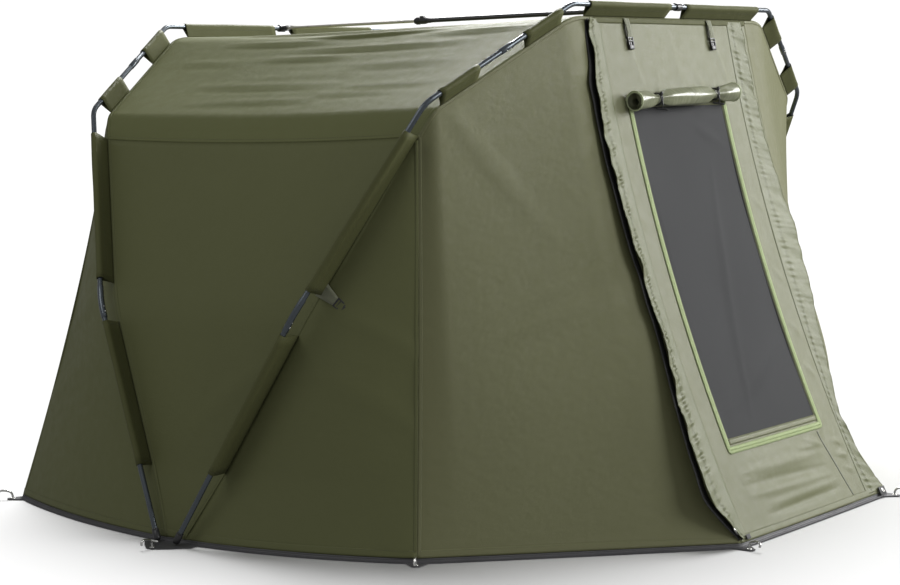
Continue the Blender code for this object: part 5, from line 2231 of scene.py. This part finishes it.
    def cover(self, finishes: Finishes) -> None:
        """Makes the window's cover, wound into a roll that two ties draw into flat facets.

        Args:
            finishes: The tent's finishes.
        """
        turns, per_turn, length = 5.5, 36, 104
        angles = np.linspace(0.0, turns * math.tau, int(turns * per_turn) + 1)[:, None]
        xs = np.linspace(*self.roll_ends, length + 1)
        reach = 0.40 + 0.60 * angles / angles[-1]
        shape = np.ones((len(angles), len(xs)))
        facet = math.tau / self.roll_facets
        for turn, tie in enumerate(self.roll_ties):
            away = np.abs(xs - tie)
            corner = np.mod(angles + 0.88 + 0.35 * turn, facet) - facet / 2
            flats = math.cos(facet / 2) / np.cos(corner) * (1.0 + 1.1 * away)
            pinch = 1 - (1 - self.roll_neck / self.roll_radius) * np.exp(-((away / 0.036) ** 2))
            gathers = 1 - 0.07 * np.exp(-away / 0.030) * np.sin(9 * angles + 40 * away)
            shape = np.minimum(shape, flats) * pinch * gathers
        ends = smooth(np.minimum(xs - xs[0], xs[-1] - xs), 0.0, 0.06)
        shape = shape * ends + 1.03 * (1 - ends)
        centre = PLAN.over_door(xs, PLAN.height_at(self.sag_of(xs)), 0.0013 + self.roll_radius)
        ring = np.stack([0 * angles, -np.cos(angles), np.sin(angles)], axis=-1)
        grid = centre[None] + ring * (self.roll_radius * reach * shape)[..., None]
        cloth = Cloth("window_cover", grid, ring, (), 0.0006, free=ALL_EDGES)
        roll = hand_over(cloth.build(finishes.film), "door_cloth", "window_cover_roll")
        binding = []
        # The ends take the binding finish, a lighter copy of the zip tape: painted light on the roll's shaded
        # ends
        for column in (0, -1):
            edge = grid[-int(per_turn * 1.6) :, column]
            binding.append(tube("edge", edge, 0.0022, finishes.binding, 8))
        edge = hand_over(merged("window_cover_binding", binding, finishes.binding), "zip_tape")
        for label, tie in zip(("left", "right"), self.roll_ties):
            self.tie(label, tie, finishes)
        cloth.area

    def sag_of(self, x: object) -> object:
        """How far below the bow the roll's middle lies, as it tilts a little."""
        return np.interp(x, self.roll_ends, self.roll_downs)

    def tie(self, label: str, x: float, finishes: Finishes) -> Piece:
        """Makes one tie of the rolled cover: a doubled loop, a knob above and a toggle that hangs.

        Args:
            label: Which of the two it is.
            x: Across from the door's middle.
            finishes: The tent's finishes.

        Returns:
            The tie.
        """
        middle = PLAN.over_door(x, PLAN.height_at(self.sag_of(x)), 0.0013 + self.roll_radius)
        parts = []
        for shift in (-0.0035, 0.0035):
            turns = np.linspace(0.0, math.tau, 40, endpoint=False)
            ring = np.stack([0 * turns + shift, np.cos(turns), np.sin(turns)], axis=1)
            ring[:, 1:] *= self.roll_neck + 0.0032
            parts.append(tube("loop", middle + ring, 0.0021, finishes.plastic, 12, closed=True))
        top = middle + vec(0.0, -self.roll_neck * 0.8, self.roll_neck * 0.75)
        knob = [top, top + vec(0.0, -0.002, 0.003), top + vec(0.0, -0.004, 0.008),
                top + vec(0.0, -0.005, 0.012)]
        parts.append(tube("knob", knob, (0.0020, 0.0052, 0.0055, 0.0022), finishes.plastic, 14,
                          smooth_way=True))
        foot = middle + vec(0.0, -self.roll_neck - 0.003, -self.roll_neck - 0.014)
        drop = [middle + vec(0.0, -self.roll_neck - 0.004, -0.002), foot + vec(0.0, -0.003, 0.012), foot]
        parts.append(tube("end", drop, 0.0020, finishes.plastic, 10, smooth_way=True))
        way = unit(vec(0.59, -0.81, -0.12))
        toggle = [foot + way * reach for reach in (-0.019, -0.014, 0.0, 0.014, 0.019)]
        parts.append(tube("toggle", toggle, (0.0018, 0.0034, 0.0028, 0.0034, 0.0018), finishes.plastic, 14,
                          smooth_way=True))
        tie = merged("window_cover_tie_cord_" + label, parts, finishes.plastic)
        return hand_over(tie, "black_fitting", "window_cover_tie_" + label)

    def flap(self, side: Side, finishes: Finishes) -> None:
        """Makes a storm flap: its sewn edge, its puckered stitch line and its rippled free edge.

        Args:
            side: The side of the door.
            finishes: The tent's finishes.
        """
        left = side is Side.LEFT
        sewn = self.flap_seams[0 if left else 1]
        marks = np.array(self.left_edge if left else self.right_edge)
        seam_at, reach = (0.62, 0.0130) if left else (0.34, 0.0050)
        downs = np.linspace(0.006, marks[-1, 0] - 0.004, 460)
        edge = np.interp(downs, marks[:, 0], marks[:, 1])
        edge = np.convolve(np.pad(edge, 7, mode="edge"), np.full(15, 1 / 15), "valid")
        seed = 81 if left else 83
        wander = ripple(seed, 7, 2.4, 9.0, 0.2)(downs, 0.0)
        share = np.linspace(0.0, 1.0, 17)[:, None]
        ruck = ripple(seed + 1, 9, 34.0, 66.0, 0.1)(downs[None] - 0.022 * share, 0.0)
        gather = np.exp(-(((share - seam_at) / 0.13) ** 2)) + 0.35 * share * smooth(share, seam_at, 1.0)
        bunch = 0.0030 if left else 0.0016
        lift = 0.0008 + reach * share**2 * (1 + 0.35 * wander) + bunch * gather * (0.4 + ruck)
        lift = lift + 0.0022 * share * ripple(seed + 2, 7, 7.0, 20.0, 0.2)(downs[None] - 0.05 * share, 0.0)
        heights = np.broadcast_to(PLAN.height_at(downs), lift.shape)
        grid = PLAN.over_door(sewn + (edge - sewn) * share, heights, np.maximum(lift, 0.0008))
        name = "storm_flap_cloth_" + side.value
        cloth = Cloth(name, grid, DOOR_OUT, (), 0.0010, free=ALL_EDGES)
        obj = hand_over(cloth.build(finishes.flap), "door_cloth", "storm_flap_" + side.value)
        row = round(seam_at * 16)
        lines = [raised(cloth.points[k], cloth.normal[k], 0.0004) for k in (row, row + 1)]
        pieces = [Stitching().build(name + "_stitches", lines, finishes.thread),
                  tube(name + "_edge", grid[-1, ::3], 0.0013, finishes.flap, 8)]
        pieces = [hand_over(piece, "door_cloth") for piece in pieces]
        if left:
            pieces += self.storm_zip(downs, edge, finishes)
        cloth.area

    def storm_zip(self, downs: np.ndarray, edge: np.ndarray, finishes: Finishes) -> list:
        """Makes the near-black zip that shows beside the left flap's free edge; its colour, darker than black
        tape, also paints the shade under that edge.

        Args:
            downs: Distances down from the bow.
            edge: Where the flap's free edge lies at each of them.
            finishes: The tent's finishes.

        Returns:
            The zip's tape and its coil.
        """
        shows = np.interp(downs, *np.array(self.zip_shows).T)
        share = np.linspace(0.0, 1.0, 5)[:, None]
        heights = np.broadcast_to(PLAN.height_at(downs), (5, len(downs)))
        grid = PLAN.over_door(edge - shows + (shows + 0.014) * share, heights, 0.0016 * share)
        cloth = Cloth("door_zip_tape", grid, DOOR_OUT, (), 0.0012, free=ALL_EDGES)
        coil = Stitching(0.0036, 0.0030, 0.0060, 0.0022, 0.0016)
        pieces = [cloth.build(finishes.storm_zip),
                  coil.build("door_zip_coil", [cloth.line(s=2)[:, 40:]], finishes.storm_zip)]
        return [hand_over(piece, "black_fitting") for piece in pieces]

    def corner(self, finishes: Finishes) -> None:
        """Makes the black tabs at the door's foot, their eyelet, and the zip's pull at the left.

        Args:
            finishes: The tent's finishes.
        """
        up = unit(PLAN.over_door(0.5, 0.06) - PLAN.over_door(0.5, 0.02))
        across = vec(1.0, 0.0, 0.0)
        out = np.cross(across, up)
        axes = np.array((across, up, out))
        seat = PLAN.over_door(0.432, PLAN.height_at(1.593), 0.010)
        tab = block("door_corner_tab", seat, axes, (0.040, 0.027, 0.0020), finishes.storm_zip, 0.0006)
        loop = block("door_corner_loop", PLAN.over_door(-0.424, PLAN.height_at(1.586), 0.008), axes,
                     (0.022, 0.014, 0.0020), finishes.storm_zip, 0.0006)
        for piece in (tab, loop):
            hand_over(piece, "black_fitting")
        turns = np.linspace(0.0, math.tau, 24, endpoint=False)[:, None]
        ring = seat + out * 0.0016 + (across * np.cos(turns) + up * np.sin(turns)) * 0.0058
        hand_over(tube("door_corner_eyelet", ring, 0.0018, finishes.steel, 12, closed=True), "peg_steel")
        head = PLAN.over_door(-0.484, PLAN.height_at(1.550), 0.010)
        pull = [head, head + vec(0.004, -0.003, -0.008), head + vec(0.016, -0.004, -0.020),
                head + vec(0.024, -0.002, -0.027)]
        sizes = (0.0020, 0.0034, 0.0036, 0.0018)
        hand_over(tube("door_zip_pull", pull, sizes, finishes.steel, 14, smooth_way=True), "peg_steel")


# Straps, floor and pegs


@dataclass
class Strap:
    """A webbing strap that ends in a side-release buckle."""

    name: str
    node: str
    way: np.ndarray
    out: np.ndarray
    path: np.ndarray
    buckle_at: np.ndarray
    widths: tuple[float, float] = (0.025, 0.025)
    buckle: tuple[float, float, float] = (0.040, 0.030, 0.009)

    def build(self, finishes: Finishes) -> None:
        """Makes the webbing, its stitches and the buckle.

        Args:
            finishes: The tent's finishes.
        """
        run = np.linspace(0, len(self.path) - 1, 40)
        line = catmull(self.path, run)
        normals = np.broadcast_to(self.out, line.shape)
        webbing = ribbon(self.name + "_webbing", np.stack([line, normals]), np.linspace(*self.widths, 40),
                         0.0, 0.0, 0.0016)
        obj = hand_over(webbing.build(finishes.webbing), "webbing", self.node)
        across = unit(np.cross(self.out, self.way))
        axes = np.array((self.way, across, self.out))
        length, width, thick = self.buckle
        parts = []

        def add(along_it: float, sideways: float, up: float, size: Colour, edge: float = 0.0010) -> None:
            """Adds one moulded block.

            Args:
                along_it: How far along the strap it lies from the buckle's middle.
                sideways: How far to its side.
                up: How far above it.
                size: Its length, width and thickness.
                edge: The radius of its edges.
            """
            centre = self.buckle_at + self.way * along_it + across * sideways + self.out * up
            parts.append(block("buckle_part", centre, axes, size, finishes.plastic, edge))

        add(-length * 0.44, 0.0, 0.0, (0.0045, width, thick * 0.62))
        add(-length * 0.20, 0.0, 0.0, (0.0045, width * 0.94, thick * 0.55))
        for flank in (-1, 1):
            add(-length * 0.30, flank * width * 0.44, 0.0, (length * 0.34, 0.0036, thick * 0.7))
            add(length * 0.02, flank * width * 0.40, 0.0, (length * 0.30, 0.0050, thick * 0.82))
        add(length * 0.02, 0.0, 0.0, (length * 0.26, width * 0.30, thick * 0.5))
        add(length * 0.30, 0.0, 0.0, (length * 0.36, width * 0.86, thick), 0.0026)
        add(length * 0.30, 0.0, thick * 0.48, (length * 0.20, width * 0.46, 0.0014), 0.0005)
        body = hand_over(merged(self.name + "_buckle", parts, finishes.plastic), "black_fitting")
        lines = [raised(webbing.points[2:14, k], normals[2:14], 0.0008) for k in (1, 3)]
        seam = hand_over(Stitching(0.004, 0.003).build(self.name + "_stitches", lines, finishes.thread),
                         "webbing")
        webbing.area


def door_strap(side: Side, x: float) -> Strap:
    """One of the two straps that hang over the top of the door.

    Args:
        side: Which of the two it is.
        x: Across from the door's middle.

    Returns:
        The strap, not yet built.
    """
    marks = ((0.004, 0.0035), (0.020, 0.007), (0.045, 0.010), (0.062, 0.008), (0.070, 0.007))
    path = np.array([PLAN.over_door(x, PLAN.height_at(down), lift) for down, lift in marks])
    top, foot = (PLAN.over_door(x, PLAN.height_at(down), 0.0075) for down in (0.084, 0.13))
    out = unit(PLAN.over_door(x, 0.93, 0.1) - PLAN.over_door(x, 0.93, 0.0))
    return Strap("door_strap_hung_" + side.value, "door_strap_" + side.value, unit(foot - top), out, path,
                 top, (0.029, 0.025))


def side_strap(side: Side) -> Strap:
    """The tapered strap sewn beside the front leg.

    Args:
        side: The side of the tent.

    Returns:
        The strap, not yet built.
    """
    root, tip = vec(-1.2140, -0.4175, 0.7525), vec(-1.1930, -0.4580, 0.7149)
    out = unit(vec(-0.885, -0.465, 0.03))
    way = unit(tip - root)
    marks = ((0.0, 0.004), (0.3, 0.007), (0.7, 0.010), (1.0, 0.010))
    points = [lerp(root, tip, t) + out * lift for t, lift in marks]
    return Strap("side_strap_sewn_" + side.value, "side_strap_" + side.value, side.place(way),
                 side.place(out), side.place(np.array(points)), side.place(tip + way * 0.016 + out * 0.009),
                 (0.052, 0.024))


@dataclass
class Groundsheet:
    """The floor with its upstanding rim, peg tabs and eyelets."""

    thickness: float = 0.0022
    rim_top_z: float = 0.0125
    margin: float = 0.012
    tab_base: float = 0.035
    tab_reach: float = 0.048
    tab_tip: float = 0.011
    hub_tab_x: float = 1.490
    hub_tab_rear: tuple[tuple[float, float], ...] = ((1.418, 0.085), (1.456, 0.050), (1.490, 0.011))
    hub_tab_front: tuple[tuple[float, float], ...] = ((1.490, -0.011), (1.456, -0.052), (1.412, -0.092))
    flat: tuple[float, float] = (2.97, 2.45)

    def hem_corners(self) -> list[np.ndarray]:
        """The corners of the hem on the left.

        Returns:
            The points, from the middle of the back to the door.
        """
        feet = [PLAN.leg_marks(bow)[0][0].seam for bow in (REAR, FRONT)]
        back = [PLAN.hem_point(PLAN.rear_middle), PLAN.hem_point(PLAN.rear_corner)]
        return back + feet + [PLAN.hem_point(PLAN.front_corner), PLAN.hem_point(PLAN.door_corner)]

    def peg_places(self) -> dict[str, tuple[np.ndarray, np.ndarray]]:
        """Where the pegs stand on the left.

        Returns:
            Each peg's place and the way that its hook points, by the peg's name.
        """
        seat = vec(-self.hub_tab_x + self.tab_tip + 0.003, 0.0, 0.0)
        places = {"hub": (seat, vec(-1.0, 0.0, 0.0))}
        corners = {
            "rear_middle": PLAN.rear_middle,
            "rear_corner": PLAN.rear_corner,
            "front_corner": PLAN.front_corner,
            "door_corner": PLAN.door_corner,
        }
        for name, corner in corners.items():
            out = -PLAN.inward_at(corner)
            places[name] = (vec(*corner, 0.0) + out * (self.tab_reach - self.tab_tip - 0.003), out)
        return places

    def row(self, start: np.ndarray, end: np.ndarray, count: int = 60) -> np.ndarray:
        """A stretch of hem, finely divided.

        Args:
            start: Its first end.
            end: Its other end.
            count: How many steps it has, unless it is short.

        Returns:
            Its points.
        """
        if np.linalg.norm(end - start) < 0.2:
            return lerp(start, end, np.linspace(0.0, 1.0, 9))
        return PLAN.hem_row(start, end, count)

    def outline(self) -> np.ndarray:
        """The floor's edge on the left, out to a tab at each peg.

        Returns:
            Its points, from the middle of the back to the door.
        """
        corners = self.hem_corners()
        found = []
        for k, corner in enumerate(corners):
            before = corners[k - 1] if k else corner * MIRROR
            after = corners[k + 1] if k < len(corners) - 1 else corner * MIRROR
            if k == 2:
                found += [vec(-x, y, 0.0) for x, y in self.hub_tab_rear]
                continue
            if k == 3:
                found += [vec(-x, y, 0.0) for x, y in self.hub_tab_front]
            else:
                out = -PLAN.inward_at(corner)
                across = vec(-out[1], out[0], 0.0)
                across = -across if across @ (after - before) < 0 else across
                tip = corner + out * self.tab_reach
                found.append(corner + unit(before - corner) * self.tab_base + out * self.margin)
                for turn in np.linspace(-1.0, 1.0, 5):
                    bulge = out * (0.003 * (1 - turn * turn))
                    found.append(tip + across * (self.tab_tip * turn) + bulge)
                found.append(corner + unit(after - corner) * self.tab_base + out * self.margin)
            row = self.row(corner, after)[4:-4]
            way = unit(after - corner)
            out = vec(way[1], -way[0], 0.0)
            out = -out if out @ PLAN.inward_at(lerp(corner, after, 0.5)) > 0 else out
            row = row + out * self.margin
            found += [point for point in row if point[0] < -1e-6]
        return np.array(found) * vec(1.0, 1.0, 0.0)

    def build(self, finishes: Finishes) -> None:
        """Makes the floor, its rim, and a metal eyelet in each tab.

        Args:
            finishes: The tent's finishes.
        """
        left = self.outline()
        bm = bmesh.new()
        edge = np.concatenate([left, (left * MIRROR)[::-1]])
        face = bm.faces.new([bm.verts.new(point + vec(0.0, 0.0, 0.0006)) for point in edge])
        grown = bmesh.ops.extrude_face_region(bm, geom=[face, *face.edges])["geom"]
        upper = [part for part in grown if isinstance(part, bmesh.types.BMVert)]
        bmesh.ops.translate(bm, verts=upper, vec=(0.0, 0.0, self.thickness))
        bmesh.ops.triangulate(bm, faces=[one for one in bm.faces if len(one.verts) > 4])
        bmesh.ops.recalc_face_normals(bm, faces=bm.faces)
        floor = shown("groundsheet_floor", mesh_of(bm, "groundsheet_floor", 30.0), finishes.floor)
        hand_over(floor, "groundsheet", "groundsheet")
        corners = self.hem_corners()
        corners += [corner * MIRROR for corner in reversed(corners)]
        loop = [self.row(a, b)[:-1] for a, b in zip(corners, corners[1:] + corners[:1])]
        loop = np.concatenate(loop)
        loop = np.concatenate([loop, loop[:1]])
        way = unit(np.gradient(loop, axis=0))
        out = unit(np.cross(way, vec(0.0, 0.0, 1.0)))
        out = -out if float((out * loop).sum()) < 0 else out
        wave = ripple(91, 8, 1.2, 7.0, 0.1)(np.cumsum(np.linalg.norm(np.gradient(loop, axis=0), axis=1)), 0.0)
        profile = ((0.0105, 0.0030), (0.0060, 0.0036), (0.0022, 0.0058), (0.0012, 0.0092),
                   (0.0010, self.rim_top_z))
        rows = []
        for reach, z in profile:
            row = loop + out * (reach + 0.0012 * wave[:, None] * (z > 0.005))
            row[:, 2] = z
            rows.append(row)
        rim = Cloth("groundsheet_rim", np.stack(rows, axis=1), out[:, None], (), 0.0016,
                    free=ALL_EDGES)
        piece = hand_over(rim.build(finishes.floor), "groundsheet")
        lines = [raised(rim.points[:, 3], rim.normal[:, 3], 0.0008)]
        seam = hand_over(Stitching(0.007, 0.005).build("groundsheet_stitches", lines, finishes.thread),
                         "groundsheet")
        rings = []
        for seat, _ in self.peg_places().values():
            for side in Side:
                rings.append(self.eyelet(side.place(seat), finishes))
        eyelets = hand_over(merged("groundsheet_eyelets", rings, finishes.steel), "peg_steel")
        rim.area

    def eyelet(self, seat: np.ndarray, finishes: Finishes) -> Piece:
        """Makes one rolled metal ring on a tab.

        Args:
            seat: The tab's place.
            finishes: The tent's finishes.

        Returns:
            The ring.
        """
        turns = np.linspace(0.0, math.tau, 28, endpoint=False)
        ring = np.stack([np.cos(turns) * 0.0068, np.sin(turns) * 0.0068, 0 * turns + 0.0032], axis=1)
        return tube("eyelet", seat + ring, 0.0016, finishes.steel, 12, closed=True)


@dataclass
class Pegs:
    """Bent wire pegs, each with a hooked head over its eyelet."""

    radius: float = 0.0034
    head: tuple[tuple[float, float], ...] = (
        (0.0, 0.0006), (0.0, 0.010), (0.0035, 0.0195), (0.012, 0.0255), (0.030, 0.0290),
        (0.040, 0.0275), (0.0445, 0.0215), (0.0430, 0.0150),
    )

    def build(self, sheet: Groundsheet, finishes: Finishes) -> None:
        """Makes every peg, with a stout crossbar on those at the hubs.

        Args:
            sheet: The groundsheet, which knows where they stand.
            finishes: The tent's finishes.
        """
        for name, (seat, out) in sheet.peg_places().items():
            for side in Side:
                points = [side.place(seat + out * reach + vec(0.0, 0.0, z)) for reach, z in self.head]
                node = f"peg_{name}_{side.value}"
                wire = tube(node + "_wire", points, self.radius, finishes.steel, 16, smooth_way=True)
                if name == "hub":
                    bar = [side.place(seat + vec(0.003, y, 0.021)) for y in (-0.020, -0.017, 0.017, 0.020)]
                    sizes = [self.radius * k for k in (0.7, 1.0, 1.0, 0.7)]
                    wire = merged(node + "_wire", [wire, tube("bar", bar, sizes, finishes.steel, 16)],
                                  finishes.steel)
                    wire.name = node + "_with_bar"
                hand_over(wire, "peg_steel", node)


def main() -> None:
    """Builds the tent's pieces in order, then the studio, and reports them."""
    logging.basicConfig(level=logging.INFO, format="%(message)s")
    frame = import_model()
    finishes = Finishes()
    studio = Studio()
    studio.camera()
    for bow in (REAR, FRONT):
        PoleSet(bow).build(finishes)
    TensionBar().build(finishes, frame["nodes"])
    shell = Shell()
    shell.roof(finishes)
    for side in Side:
        shell.walls(side, finishes)
        shell.front(side, finishes)
    shell.rear(finishes)
    for bow in (REAR, FRONT):
        for side in Side:
            Sleeves(bow).build(side, finishes)
    door = Door()
    door.panel(finishes)
    door.window(finishes)
    door.cover(finishes)
    door.corner(finishes)
    for side, x in zip(Side, (-0.280, 0.218)):
        door.flap(side, finishes)
        door_strap(side, x).build(finishes)
        side_strap(side).build(finishes)
    sheet = Groundsheet()
    sheet.build(finishes)
    Pegs().build(sheet, finishes)
    studio.light(studio.floor())


if __name__ == "__main__":
    main()
